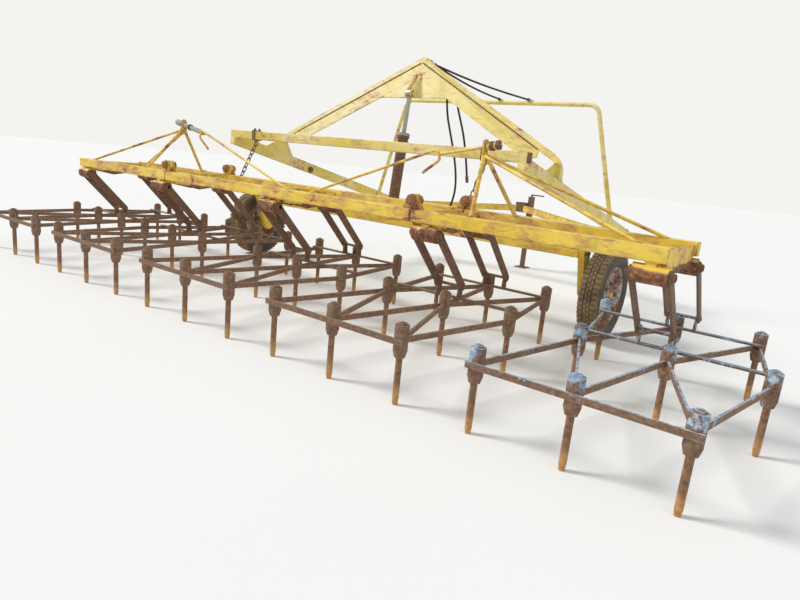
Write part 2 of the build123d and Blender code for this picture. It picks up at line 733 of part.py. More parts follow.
def side_rail():
    """The right rail from the axle beam to the front tube."""
    return block((RAIL_X - BEAM / 2, RAIL_X + BEAM / 2),
                 (AXLE_Y + AXLE_DEEP / 2, PIVOT_Y - BEAM / 2),
                 (RAIL_Z - BEAM / 2, RAIL_Z + BEAM / 2))


def front_tube():
    """The front cross tube, whose ends carry the lift frame's pivot pins."""
    end = ARM_X - LIFT_ARM_WIDE / 2 - LUG_GAP
    tube = block((-end, end), (PIVOT_Y - BEAM / 2, PIVOT_Y + BEAM / 2),
                 (PIVOT_Z - BEAM / 2, PIVOT_Z + BEAM / 2))
    outer = ARM_X + LIFT_ARM_WIDE / 2 + LUG_GAP
    pin = along_x(end - 5, outer + 20, PIVOT_Y, PIVOT_Z, PIVOT_R)
    pin += along_x(outer, outer + 14, PIVOT_Y, PIVOT_Z, PIVOT_R + 13)
    return tube + pin + mirrored(pin)


def nose_block():
    """The block at the drawbar's nose with its two clevis ears, bored for the hitch pin."""
    low, high = NOSE_Z - NOSE_HIGH / 2, NOSE_Z + NOSE_HIGH / 2
    front = NOSE_Y + NOSE_LONG
    shape = block((-NOSE_WIDE / 2, NOSE_WIDE / 2), (NOSE_Y, front), (low, high))
    for side in (-1, 1):
        z = NOSE_Z + side * (CLEVIS_GAP + CLEVIS_THICK) / 2
        tongue = CLEVIS_LONG - CLEVIS_WIDE / 2
        shape += block((-CLEVIS_WIDE / 2, CLEVIS_WIDE / 2), (front - 5, front + tongue),
                       (z - CLEVIS_THICK / 2, z + CLEVIS_THICK / 2))
        shape += rod((0, front + tongue, z - CLEVIS_THICK / 2),
                     (0, front + tongue, z + CLEVIS_THICK / 2), CLEVIS_WIDE / 2)
    pin_y = front + CLEVIS_LONG - CLEVIS_WIDE / 2
    return shape - rod((0, pin_y, low), (0, pin_y, high), HITCH_PIN_R)


def drawbar_leg():
    """The right leg of the V from the front tube to the nose."""
    start = (DRAWBAR_X, PIVOT_Y, PIVOT_Z)
    end = (20, NOSE_Y + 45, NOSE_Z - 10)
    leg = flat_bar(start, end, BEAM, DRAWBAR_THICK, (end[1] - start[1], start[0] - end[0], 0))
    leg = leg - front_tube() - nose_block()
    return max(leg.solids(), key=lambda one: one.volume)


def jack_tube():
    """The square sleeve of the parking jack, welded to the nose block's side."""
    x0 = NOSE_WIDE / 2
    y0 = JACK_Y
    outer = block((x0, x0 + JACK_SIDE), (y0, y0 + JACK_SIDE), (JACK_LOW, JACK_TOP))
    inner = block((x0 + JACK_WALL, x0 + JACK_SIDE - JACK_WALL),
                  (y0 + JACK_WALL, y0 + JACK_SIDE - JACK_WALL), (JACK_LOW - 1, JACK_TOP - 12))
    cx, cy = x0 + JACK_SIDE / 2, y0 + JACK_SIDE / 2
    crank = rod((cx, cy, JACK_TOP), (cx, cy, JACK_TOP + CRANK_RISE + CRANK_R), CRANK_R * 1.5)
    crank += rod((cx, cy, JACK_TOP + CRANK_RISE), (cx + CRANK_L, cy, JACK_TOP + CRANK_RISE),
                 CRANK_R)
    return outer - inner + crank


def jack_leg():
    """The jack's inner leg with its foot on the ground."""
    cx, cy = NOSE_WIDE / 2 + JACK_SIDE / 2, JACK_Y + JACK_SIDE / 2
    half = JACK_SIDE / 2 - JACK_WALL - RUN
    pad = JACK_FOOT / 2
    shape = block((cx - half, cx + half), (cy - half, cy + half), (JACK_PAD, JACK_LEG_TOP))
    return shape + block((cx - pad, cx + pad), (cy - pad, cy + pad), (0, JACK_PAD))


def cross_beam():
    """The lift frame's cross beam, its end plates and the lugs for the two chains."""
    end = ARM_X - LIFT_ARM_WIDE / 2
    shape = block((-end, end), (CROSS_Y - BEAM / 2, CROSS_Y + BEAM / 2),
                  (CROSS_LOW, CROSS_LOW + BEAM))
    shape = fillet(shape.edges().filter_by(Axis.X), BEAM_ROUND)
    for x in (-CHAIN_X, CHAIN_X):
        shape += chain_lugs(x, (CROSS_Y, CHAIN_TOP_Z), (CROSS_Y, CROSS_LOW + 4))
    return shape


# Chassis and wheels
save("axle_beam", axle_beam())
save("wheel_legs", wheel_leg(), mirrored(wheel_leg()))
save("side_rails", side_rail(), mirrored(side_rail()))
save("front_cross_tube", front_tube())
save("drawbar_legs", drawbar_leg(), mirrored(drawbar_leg()))
save("hitch_block", nose_block())
save("jack_tube", jack_tube())
save("jack_leg", jack_leg())
for name, make in (("tyre", tyre), ("rim", rim)):
    save(f"{name}_right", make())
    save(f"{name}_left", mirrored(make()))

# Lift frame and cylinder
save("lift_cross_beam", cross_beam())
save("lift_arms", lift_arm(), mirrored(lift_arm()))
right_leg = gantry_leg()
for name, length in (("hose_to_hoop_inner", HOSE_SOCKET_L), ("hose_to_hoop_outer", HOSE_SOCKET_L),
                     ("hanging_hose_inner", HANGING_SOCKET_L),
                     ("hanging_hose_outer", HANGING_SOCKET_L)):
    right_leg += hose_socket(HOSES[name][0], HOSES[name][1], length)
save("gantry_legs", right_leg, mirrored(gantry_leg()))
save("peak_gusset", peak_gusset())
save("hose_hoop", hose_hoop())
save("cylinder_barrel", cylinder_barrel())
save("cylinder_rod", cylinder_rod())
for name in HOSES:
    save(name, hose(name))
for place in ("inner", "outer"):
    save(f"hose_coupling_{place}", coupling(f"hanging_hose_{place}"))

# Centre of the harrow
far_centre = centre_beam(FAR_Y)
for x in (-CHAIN_X, CHAIN_X):
    far_centre += chain_lugs(x, (CHAIN_LOW_Y, CHAIN_LOW_Z), (FAR_Y + BEAM / 2 - 4, CHAIN_LOW_Z))
save("centre_beams", centre_beam(0), far_centre)
edge_x = HINGE_X - SPLIT - PLATE
tie_x = SLEEVE_L / 2 + RUN + PLATE / 2
plates = [cross_plate(x) for x in (-edge_x, -tie_x, tie_x, edge_x)]
save("centre_hangers", *hanger(0), *plates)
save("tie_rods", tie_rod(), mirrored(tie_rod()))
save("lift_chains", *lift_chain(-CHAIN_X), *lift_chain(CHAIN_X))

# Wings
wing_pieces = (
    ("wing_beams", [wing_beam(0), wing_beam(FAR_Y)]),
    ("wing_hangers", [*hanger(LEAVES[3][2]), *hanger(LEAVES[4][2]), cross_plate(LEAVES[3][2]),
                      cross_plate(WING_END - PLATE * 2)]),
    ("king_post", [king_post()]),
    ("stay_rods", stay_rods()),
)
for name, solids in wing_pieces:
    save(f"{name}_right", *solids)
    save(f"{name}_left", *[mirrored(one) for one in solids])
save("pipe_sleeve_left", mirrored(pipe_sleeve()))

# Leaves and the arms that carry them
for number, rear_x, sleeve_x, side in LEAVES:
    save(f"leaf_frame_{number}", leaf_frame(rear_x, sleeve_x, side))
    save(f"leaf_tines_{number}", *leaf_tines(rear_x, side))
    save(f"near_arms_{number}", arm_pair(sleeve_x, 0))
    save(f"far_arms_{number}", arm_pair(sleeve_x, FAR_Y))
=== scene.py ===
"""Looks of the trailed tine harrow: faded yellow enamel gone to rust, bare rusty leaves and worn tines.

Metres, in the machine's frame: X along the beams, Y forwards to the hitch, Z up from the ground.
"""
import json
import math
import bmesh
import bpy
from mathutils import Matrix, Vector


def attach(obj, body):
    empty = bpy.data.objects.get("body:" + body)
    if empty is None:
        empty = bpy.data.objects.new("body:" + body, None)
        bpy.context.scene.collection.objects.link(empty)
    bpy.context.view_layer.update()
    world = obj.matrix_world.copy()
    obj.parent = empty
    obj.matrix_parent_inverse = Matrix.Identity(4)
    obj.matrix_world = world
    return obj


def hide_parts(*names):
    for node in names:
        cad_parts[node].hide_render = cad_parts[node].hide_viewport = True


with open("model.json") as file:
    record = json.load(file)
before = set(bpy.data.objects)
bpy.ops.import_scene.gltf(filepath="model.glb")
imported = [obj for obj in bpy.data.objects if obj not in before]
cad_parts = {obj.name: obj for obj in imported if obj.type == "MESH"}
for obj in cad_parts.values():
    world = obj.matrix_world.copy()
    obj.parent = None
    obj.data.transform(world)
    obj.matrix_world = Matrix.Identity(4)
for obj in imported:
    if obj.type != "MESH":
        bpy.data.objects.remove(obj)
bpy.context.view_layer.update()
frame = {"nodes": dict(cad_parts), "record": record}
nodes = frame["nodes"]

MM = 0.001

# Y of the rear beam's middle, and the right wheel's middle, in millimetres
REAR_Y = -1814
WHEEL = (1985, 1570, 350)

# The camera of the photograph, fitted to the straight beams: metres, degrees and a lens for 36 mm
CAMERA_AT = (3.385, -4.753, 1.161)
CAMERA_YAW = -36.07
CAMERA_TILT = 12.85
CAMERA_ROLL = -5.72
CAMERA_LENS = 27.05
SENSOR = 36

# Each light's name, strength, and width, tilt and turn in degrees; half the floor's side in metres
LIGHTS = (("key", 2.3, 18, 48, -62), ("fill", 0.55, 60, 55, 70))
FLOOR_HALF = 60

# Where a finish changes, in metres: height up the tines, height up the sockets, radius on the tyres
SOIL_LINE = (0.1, 0.165)
SOCKET_HEAD = (0.335, 0.37)
TREAD_EDGE = (0.31, 0.335)

# A face with more corners than this is split before its edges are rounded
MOST_CORNERS = 24

# Kinds of node that come up often
NOISE = "ShaderNodeTexNoise"
RAMP = "ShaderNodeValToRGB"
MIX = "ShaderNodeMix"
MATHS = "ShaderNodeMath"


def linear(hex_colour):
    """An sRGB hex colour as linear RGBA."""
    parts = [int(hex_colour[k:k + 2], 16) / 255 for k in (1, 3, 5)]
    return (*(c / 12.92 if c <= 0.04045 else ((c + 0.055) / 1.055) ** 2.4 for c in parts), 1.0)


BEAM_YELLOW = linear("#E9C335")
BEAM_PALE = linear("#ECD05A")
LIFT_YELLOW = linear("#E2CB62")
LIFT_PALE = linear("#EADD9C")
OLIVE_GRIME = linear("#A1904A")
RUST_STAIN = linear("#BE8657")
RUST_DARK = linear("#4E3327")
RUST_MID = linear("#7C5038")
RUST_LIGHT = linear("#A8744C")
BOLT_RUST = linear("#94633F")
BOLT_BLOOM = linear("#B98A5E")
STEEL_SCALE = linear("#45342B")
STEEL_BROWN = linear("#745642")
# Paler rusty steel: its bloom, and its edges as rubbed wear and a painted highlight
STEEL_RUBBED_AND_HIGHLIT = linear("#9C745A")
BAR_DARK = linear("#4B372D")
BAR_BROWN = linear("#7B5F49")
BAR_LIGHT = linear("#A6846C")
EARTH = linear("#94805F")
OCHRE_SOIL = linear("#B07B45")
PALE_SOIL = linear("#C09763")
OLD_BLUE = linear("#7C97B2")
BLUE_CHALK = linear("#B6C4CF")
RUBBER = linear("#2A2827")
TREAD_DUST = linear("#8F7856")
HOSE_BLACK = linear("#1B1A19")
HOSE_GREY = linear("#252321")
HOSE_DUST = linear("#3A3733")
# Off-white of the rims' patches: old paint and a painted highlight
RIM_WHITE_AND_HIGHLIGHT = linear("#C8C4B8")
WHEEL_GREY = linear("#8C887E")
ZINC_DARK = linear("#7D7B78")
ZINC = linear("#A2A19D")
ZINC_BLOOM = linear("#BDBCB8")
CHROME = linear("#A3A29C")
CHROME_HAZE = linear("#8B7A66")
BACKDROP = linear("#F4F3F0")
FLOOR_SHADE = linear("#EFEEEA")
SKY_LIGHT = linear("#E9EDF2")


def add(tree, kind, values=None, stops=(), **settings):
    """Adds one node with its settings, what goes into its sockets, and a ramp's stops.

    A value is a number or colour, another node for its first output, one output socket, or a list
    of those for a socket that takes several. A stop is a place from 0 to 1 and a colour or grey.
    """
    node = tree.nodes.new(kind)
    for name, value in settings.items():
        setattr(node, name, value)
    for key, value in (values or {}).items():
        socket = node.inputs[key] if isinstance(key, int) else next(
            item for item in node.inputs if item.name == key and item.enabled)
        for source in reversed(value) if isinstance(value, list) else (value,):
            if isinstance(source, bpy.types.Node):
                source = next(item for item in source.outputs if item.enabled)
            if isinstance(source, bpy.types.NodeSocket):
                tree.links.new(source, socket)
            else:
                socket.default_value = source
    if stops:
        elements = node.color_ramp.elements
        while len(elements) < len(stops):
            elements.new(0.5)
        for element, (place, colour) in zip(elements, stops):
            element.position = place
            element.color = colour if isinstance(colour, tuple) else (colour, colour, colour, 1)
    return node


def new_material(name):
    """An empty material, its tree and the place on the piece in metres."""
    material = bpy.data.materials.new(name)
    material.use_nodes = True
    tree = material.node_tree
    tree.nodes.clear()
    return material, tree, add(tree, "ShaderNodeTexCoord").outputs["Object"]


def surface(tree, sockets):
    """Ends a material with its shader and what goes into the shader's sockets."""
    shader = add(tree, "ShaderNodeBsdfPrincipled", sockets)
    add(tree, "ShaderNodeOutputMaterial", {"Surface": shader})


def scale_for(size_mm):
    """The noise scale that makes patches about size_mm across."""
    return 0.5 / (size_mm * MM)


def patches(tree, place, size_mm, stops, detail=4.0, rough=0.55, distort=0.0):
    """Uneven patches about size_mm across, read through a ramp of colours or greys."""
    noise = add(tree, NOISE, {"Vector": place, "Scale": scale_for(size_mm), "Detail": detail,
                              "Roughness": rough, "Distortion": distort})
    return add(tree, RAMP, {"Fac": noise}, stops)


def grain(tree, place, size_mm, detail, rough, depth_mm, strength):
    """Relief of pits and scale about size_mm across and depth_mm deep."""
    noise = add(tree, NOISE, {"Vector": place, "Scale": scale_for(size_mm), "Detail": detail,
                              "Roughness": rough})
    return add(tree, "ShaderNodeBump",
               {"Height": noise, "Distance": depth_mm * MM, "Strength": strength})


def rust_colour(tree, place):
    """Layered rust: dark scale with brown and orange bloom."""
    bloom = patches(tree, place, 16, ((0.36, RUST_DARK), (0.5, RUST_MID), (0.64, RUST_LIGHT)), 8,
                    0.68)
    broad = patches(tree, place, 160, ((0.4, 0.8), (0.62, 1.2)), 3)
    return add(tree, MIX, {"Factor": 0.8, "A": bloom, "B": broad}, data_type="RGBA",
               blend_type="MULTIPLY")


def upward(tree):
    """How far a face looks up, from -1 to 1."""
    normal = add(tree, "ShaderNodeNewGeometry").outputs["Normal"]
    return add(tree, "ShaderNodeSeparateXYZ", {0: normal}).outputs["Z"]


def edge_band(tree, millimetres):
    """1 along the edges, fading over a few millimetres: where hands, stones and chains rub, and where
    the rusty steels get a painted highlight.
    """
    soft = add(tree, "ShaderNodeBevel", {"Radius": millimetres * MM}, samples=4)
    sharp = add(tree, "ShaderNodeNewGeometry").outputs["Normal"]
    match = add(tree, "ShaderNodeVectorMath", {0: soft, 1: sharp}, operation="DOT_PRODUCT")
    return add(tree, RAMP, {"Fac": match}, ((0.8, 1.0), (0.995, 0.0)))


def enamel(name, yellow, pale, wear, edge_wear, bare_below=None):
    """Brushed-on enamel, chalked by sun, stained brown and chipped to rust along its edges.

    wear and edge_wear say how much is gone, all over and at the edges. Under the height
    bare_below, in metres, most of it is.
    """
    material, tree, place = new_material(name)
    chalk = patches(tree, place, 260, ((0.36, 0.0), (0.64, 1.0)))
    tone = add(tree, MIX, {"Factor": chalk, "A": yellow, "B": pale}, data_type="RGBA")
    grime = patches(tree, place, 60, ((0.5, 0.0), (0.72, 0.5)), 8, 0.65, 0.4)
    paint = add(tree, MIX, {"Factor": grime, "A": tone, "B": OLIVE_GRIME}, data_type="RGBA")
    specks = patches(tree, place, 5, ((0.62, 0.0), (0.72, 0.35)), 3)
    paint = add(tree, MIX, {"Factor": specks, "A": paint, "B": RUST_MID}, data_type="RGBA")
    drawn_out = add(tree, "ShaderNodeMapping", {"Vector": place, "Scale": (0.35, 1.0, 1.0)})
    streaks = add(tree, NOISE, {"Vector": drawn_out, "Scale": scale_for(22), "Detail": 10,
                                "Roughness": 0.72, "Distortion": 0.5})
    fields = add(tree, NOISE, {"Vector": place, "Scale": scale_for(210), "Detail": 5,
                               "Roughness": 0.6, "Distortion": 0.5})
    fine = add(tree, MATHS, {0: streaks, 1: 0.6}, operation="MULTIPLY")
    coarse = add(tree, MATHS, {0: fields, 1: 0.4}, operation="MULTIPLY")
    chips = add(tree, MATHS, {0: fine, 1: coarse}, operation="ADD")
    chips = add(tree, MATHS, {0: edge_band(tree, 14), 1: edge_wear, 2: chips},
                operation="MULTIPLY_ADD")
    if bare_below is not None:
        height = add(tree, "ShaderNodeSeparateXYZ", {0: place}).outputs["Z"]
        low = add(tree, RAMP, {"Fac": height},
                  ((bare_below - 0.012, 0.2), (bare_below + 0.014, 0.0)))
        chips = add(tree, MATHS, {0: chips, 1: low}, operation="ADD")
    edge = 0.66 - 0.15 * wear
    gone = add(tree, RAMP, {"Fac": chips}, ((edge, 0.0), (edge + 0.025, 1.0)))
    halo = add(tree, RAMP, {"Fac": chips}, ((edge - 0.1, 0.0), (edge - 0.01, 0.8)))
    stained = add(tree, MIX, {"Factor": halo, "A": paint, "B": RUST_STAIN}, data_type="RGBA")
    colour = add(tree, MIX, {"Factor": gone, "A": stained, "B": rust_colour(tree, place)},
                 data_type="RGBA")
    rough = add(tree, RAMP, {"Fac": gone}, ((0.0, 0.5), (1.0, 0.88)))
    brushing = add(tree, NOISE, {"Vector": place, "Scale": scale_for(6), "Detail": 6,
                                 "Roughness": 0.6})
    brushing = add(tree, MATHS, {0: brushing, 1: 0.25}, operation="MULTIPLY")
    coat = add(tree, MATHS, {0: brushing, 1: gone}, operation="SUBTRACT")
    relief = add(tree, "ShaderNodeBump", {"Height": coat, "Distance": 0.6 * MM, "Strength": 0.6})
    surface(tree, {"Base Color": colour, "Roughness": rough, "IOR": 1.5, "Normal": relief})
    return material


def weathered(name, dark, light, bloom, dust, paint=None, kept=0.0, on_top=0.0):
    """A surface left outside: dark scale, lighter bloom and a little dry earth on top, its edges in the
    bloom's colour as rubbed wear and a painted highlight.

    dust says how much earth. paint holds an old paint's two colours, which on the wheels also stand for
    a painted highlight; kept says how much of it is left, and on_top how much more shows on the heads
    of the tine sockets and, as a painted sky sheen, on faces that look up.
    """
    material, tree, place = new_material(name)
    scale = patches(tree, place, 9, ((0.3, dark), (0.5, light), (0.72, bloom)), 10, 0.75)
    broad = patches(tree, place, 110, ((0.36, 0.86), (0.64, 1.1)), 6)
    colour = add(tree, MIX, {"Factor": 0.85, "A": scale, "B": broad}, data_type="RGBA",
                 blend_type="MULTIPLY")
    # Edges painted in the bloom colour: partly rubbed wear, partly a painted highlight where light
    # would catch them
    rubbed_and_highlit_edges = add(tree, MATHS, {0: edge_band(tree, 4), 1: 0.6}, operation="MULTIPLY")
    colour = add(tree, MIX, {"Factor": rubbed_and_highlit_edges, "A": colour, "B": bloom}, data_type="RGBA")
    up = upward(tree)
    if paint:
        old = patches(tree, place, 10, ((0.42, paint[0]), (0.62, paint[1])), 6)
        flakes = add(tree, NOISE, {"Vector": place, "Scale": scale_for(45), "Detail": 10,
                                   "Roughness": 0.72, "Distortion": 0.4})
        # Faces that look up get more of the pale blue-grey: a painted sheen of the sky, not paint
        sheen_on_tops = add(tree, RAMP, {"Fac": up}, ((0.6, 0.0), (0.9, on_top)))
        flakes = add(tree, MATHS, {0: flakes, 1: sheen_on_tops}, operation="ADD")
        height = add(tree, "ShaderNodeSeparateXYZ", {0: place}).outputs["Z"]
        heads = add(tree, RAMP, {"Fac": height},
                    ((SOCKET_HEAD[0], 0.0), (SOCKET_HEAD[1], on_top * 0.65)))
        flakes = add(tree, MATHS, {0: flakes, 1: heads}, operation="ADD")
        left = add(tree, RAMP, {"Fac": flakes}, ((0.66 - kept, 0.0), (0.7 - kept, 1.0)))
        colour = add(tree, MIX, {"Factor": left, "A": colour, "B": old}, data_type="RGBA")
    dirt = add(tree, NOISE, {"Vector": place, "Scale": scale_for(40), "Detail": 6,
                             "Roughness": 0.55})
    dirt = add(tree, MATHS, {0: up, 1: dirt}, operation="MULTIPLY")
    settled = add(tree, RAMP, {"Fac": dirt}, ((0.3, 0.0), (0.65, dust)))
    colour = add(tree, MIX, {"Factor": settled, "A": colour, "B": EARTH}, data_type="RGBA")
    rough = patches(tree, place, 30, ((0.3, 0.68), (0.7, 0.92)))
    surface(tree, {"Base Color": colour, "Roughness": rough, "IOR": 1.5,
                   "Normal": grain(tree, place, 5, 8, 0.7, 0.9, 0.7)})
    return material


def tine_steel():
    """Forged spikes: rusty above, and stained with ochre soil over their lower third."""
    material, tree, place = new_material("forged tine steel")
    height = add(tree, "ShaderNodeSeparateXYZ", {0: place}).outputs["Z"]
    splash = add(tree, NOISE, {"Vector": place, "Scale": scale_for(26), "Detail": 6,
                               "Roughness": 0.55})
    splash = add(tree, MATHS, {0: splash, 1: 0.1}, operation="MULTIPLY")
    level = add(tree, MATHS, {0: height, 1: splash}, operation="ADD")
    rust = patches(tree, place, 10, ((0.35, BAR_DARK), (0.52, BAR_BROWN), (0.7, RUST_LIGHT)), 9, 0.7)
    soil = patches(tree, place, 9, ((0.4, 0.0), (0.62, 1.0)), 6)
    soil = add(tree, MIX, {"Factor": soil, "A": OCHRE_SOIL, "B": PALE_SOIL}, data_type="RGBA")
    low = add(tree, RAMP, {"Fac": level}, ((SOIL_LINE[0], 1.0), (SOIL_LINE[1], 0.1)))
    colour = add(tree, MIX, {"Factor": low, "A": rust, "B": soil}, data_type="RGBA")
    rough = add(tree, RAMP, {"Fac": low}, ((0.0, 0.85), (1.0, 0.75)))
    surface(tree, {"Base Color": colour, "Roughness": rough, "IOR": 1.5,
                   "Normal": grain(tree, place, 4, 8, 0.7, 0.8, 0.7)})
    return material


def tyre_rubber():
    """Old tyre: grey-black walls, and dry earth worked into the tread."""
    material, tree, place = new_material("weathered tyre rubber")
    split = add(tree, "ShaderNodeSeparateXYZ", {0: place}).outputs
    squares = []
    for axis, middle in (("Y", WHEEL[1] + REAR_Y), ("Z", WHEEL[2])):
        away = add(tree, MATHS, {0: split[axis], 1: middle * MM}, operation="SUBTRACT")
        squares.append(add(tree, MATHS, {0: away, 1: away}, operation="MULTIPLY"))
    reach = add(tree, MATHS, {0: squares[0], 1: squares[1]}, operation="ADD")
    reach = add(tree, MATHS, {0: reach}, operation="SQRT")
    tread = add(tree, RAMP, {"Fac": reach}, ((TREAD_EDGE[0], 0.2), (TREAD_EDGE[1], 1.0)))
    cakes = patches(tree, place, 45, ((0.34, 0.35), (0.56, 1.0)), 8, 0.65)
    dust = add(tree, MATHS, {0: tread, 1: cakes}, operation="MULTIPLY")
    colour = add(tree, MIX, {"Factor": dust, "A": RUBBER, "B": TREAD_DUST}, data_type="RGBA")
    rough = add(tree, RAMP, {"Fac": dust}, ((0.0, 0.68), (1.0, 0.95)))
    surface(tree, {"Base Color": colour, "Roughness": rough, "IOR": 1.52,
                   "Normal": grain(tree, place, 3, 6, 0.55, 0.4, 0.5)})
    return material


def chromed():
    """Hard chrome on the cylinder's rod, dulled by weather."""
    material, tree, place = new_material("hard chrome plate")
    haze = add(tree, NOISE, {"Vector": place, "Scale": scale_for(25), "Detail": 6,
                             "Roughness": 0.55})
    dull = add(tree, RAMP, {"Fac": haze}, ((0.5, 0.0), (0.8, 0.5)))
    colour = add(tree, MIX, {"Factor": dull, "A": CHROME, "B": CHROME_HAZE}, data_type="RGBA")
    rough = add(tree, RAMP, {"Fac": haze}, ((0.3, 0.24), (0.8, 0.5)))
    surface(tree, {"Base Color": colour, "Roughness": rough, "Metallic": 1.0})
    return material


def floor_paint():
    """The plain pale floor, matt and nearly even."""
    material, tree, place = new_material("studio floor")
    cloud = add(tree, NOISE, {"Vector": place, "Scale": scale_for(900), "Detail": 2,
                              "Roughness": 0.55})
    shade = add(tree, MIX, {"Factor": cloud, "A": BACKDROP, "B": FLOOR_SHADE}, data_type="RGBA")
    surface(tree, {"Base Color": shade, "Roughness": 0.9})
    return material


# Each finish, named as the material slot of the record
FINISH = {
    # Brushed alkyd enamel on the harrow: strong yellow, thin over the edges where rust comes through
    "beam_enamel": enamel("bright yellow beam enamel", BEAM_YELLOW, BEAM_PALE, 0.58, 0.13),
    # The same enamel on the lift frame, turned chalky and pale by more sun
    "lift_enamel": enamel("chalked yellow lift frame enamel", LIFT_YELLOW, LIFT_PALE, 0.3, 0.1),
    # On the sleeves only the top kept its enamel, so they read as brown rolls with a yellow back
    "sleeve_enamel": enamel("yellow enamel worn off the sleeves", BEAM_YELLOW, BEAM_PALE, 0.55,
                            0.08, 0.79),
    # Hot-rolled flats and forgings, never painted: dull brown, with paler edges that are partly rubbed
    # wear and partly a painted highlight
    "rusty_steel": weathered("rusty mild steel", STEEL_SCALE, STEEL_BROWN, STEEL_RUBBED_AND_HIGHLIT, 0.25),
    # The hinges' bolts weep a brighter orange rust than the steel round them
    "bolt_steel": weathered("orange rusted bolts", RUST_MID, BOLT_RUST, BOLT_BLOOM, 0.2),
    # Harrow bars scoured by soil: an even, dry brown with a little earth on top
    "leaf_steel": weathered("rusty harrow bar", BAR_DARK, BAR_BROWN, BAR_LIGHT, 0.4),
    # The right-hand leaf kept flakes of a light blue paint; the extra pale blue on top of its bars is a
    # painted sky sheen
    "blue_worn_steel": weathered("harrow bar with old blue paint and painted sheen", BAR_DARK, BAR_BROWN, BAR_LIGHT,
                                 0.25, (OLD_BLUE, BLUE_CHALK), 0.07, 0.14),
    # Pressed wheels: red-brown rust broken up by grey and off-white patches, partly old paint and
    # partly a painted highlight
    "rim_steel": weathered("wheel steel with old paint and painted highlights", BAR_DARK, RUST_MID, RUST_LIGHT, 0.5,
                           (WHEEL_GREY, RIM_WHITE_AND_HIGHLIGHT), 0.17),
    # Forged steel spikes: brown and pitted above, and ochre where they go into the soil
    "tine_steel": tine_steel(),
    # Moulded rubber: matt grey-black walls, and a tread that looks brown with dry earth
    "tyre": tyre_rubber(),
    # Hard chrome on a ground rod: a grey mirror, hazy where weather has dulled it
    "chrome": chromed(),
    # Rubber hose cover: near black and matt, with grey dust
    "hose_rubber": weathered("black hydraulic hose cover", HOSE_BLACK, HOSE_GREY, HOSE_DUST, 0.5),
    # Zinc-coated pipe: flat mid grey without shine
    "grey_pipe": weathered("galvanised water pipe", ZINC_DARK, ZINC, ZINC_BLOOM, 0.3),
}


def at(x, y, z):
    """A point in millimetres, with Y measured from the rear beam's centre, in the machine's frame."""
    return Vector((x, y + REAR_Y, z)) * MM


def finished(name, mesh, finish, body, *replaced):
    """An object with a finish that rides on a body and may stand for CAD nodes."""
    obj = bpy.data.objects.new(name, mesh)
    bpy.context.scene.collection.objects.link(obj)
    mesh.materials.clear()
    mesh.materials.append(FINISH[finish])
    if replaced:
        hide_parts(*replaced)
    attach(obj, body)
    return obj


def body_of(node):
    """The body that carries a CAD node."""
    return next(name for name, held in frame["record"]["behaviour"]["bodies"].items() if node in held)


def dress(node, width_mm, finish, round_from=40):
    """A CAD node with its edges rounded over as on rolled or worn steel.

    Faces with many corners are split first, because a bevel turns parts of them over.
    """
    mesh = nodes[node].data.copy()
    grown = bmesh.new()
    grown.from_mesh(mesh)
    bmesh.ops.remove_doubles(grown, verts=grown.verts, dist=0.02 * MM)
    bmesh.ops.dissolve_limit(grown, angle_limit=math.radians(1), verts=grown.verts,
                             edges=grown.edges)
    wide = [face for face in grown.faces if len(face.verts) > MOST_CORNERS]
    bmesh.ops.triangulate(grown, faces=wide)
    grown.to_mesh(mesh)
    grown.free()
    mesh.shade_smooth()
    mesh.set_sharp_from_angle(angle=math.radians(round_from))
    obj = finished(f"{node}_dressed", mesh, finish, body_of(node), node)
    edge = obj.modifiers.new("worn edges", "BEVEL")
    edge.width = width_mm * MM
    edge.segments = 2
    edge.limit_method = "ANGLE"
    edge.angle_limit = math.radians(round_from)
    return obj


def start_tree(name, **sizes):
    """A Geometry Nodes tree with the points to work on, a finish and named sizes in metres."""
    tree = bpy.data.node_groups.new(name, "GeometryNodeTree")
    sockets = [("Points", "NodeSocketGeometry"), ("Finish", "NodeSocketMaterial")]
    sockets += [(size, "NodeSocketFloat") for size in sizes]
    for label, kind in sockets:
        socket = tree.interface.new_socket(label, in_out="INPUT", socket_type=kind)
        if label in sizes:
            socket.default_value = sizes[label]
    tree.interface.new_socket("Result", in_out="OUTPUT", socket_type="NodeSocketGeometry")
    return tree, add(tree, "NodeGroupInput").outputs


def end_tree(tree, inputs, item):
    """Puts the item on every point, as each is turned and stretched, and ends the tree."""
    turn = add(tree, "GeometryNodeInputNamedAttribute", {"Name": "turn"},
               data_type="FLOAT_VECTOR")
    stretch = add(tree, "GeometryNodeInputNamedAttribute", {"Name": "stretch"},
                  data_type="FLOAT_VECTOR")
    turn = add(tree, "FunctionNodeEulerToRotation", {"Euler": turn})
    placed = add(tree, "GeometryNodeInstanceOnPoints",
                 {"Points": inputs["Points"], "Instance": item, "Rotation": turn,
                  "Scale": stretch})
    close_tree(tree, inputs, placed)


def close_tree(tree, inputs, geometry):
    """Realize Instances and Set Material, as every tree ends."""
    real = add(tree, "GeometryNodeRealizeInstances", {"Geometry": geometry})
    done = add(tree, "GeometryNodeSetMaterial", {"Geometry": real, "Material": inputs["Finish"]})
    add(tree, "NodeGroupOutput", {0: done})


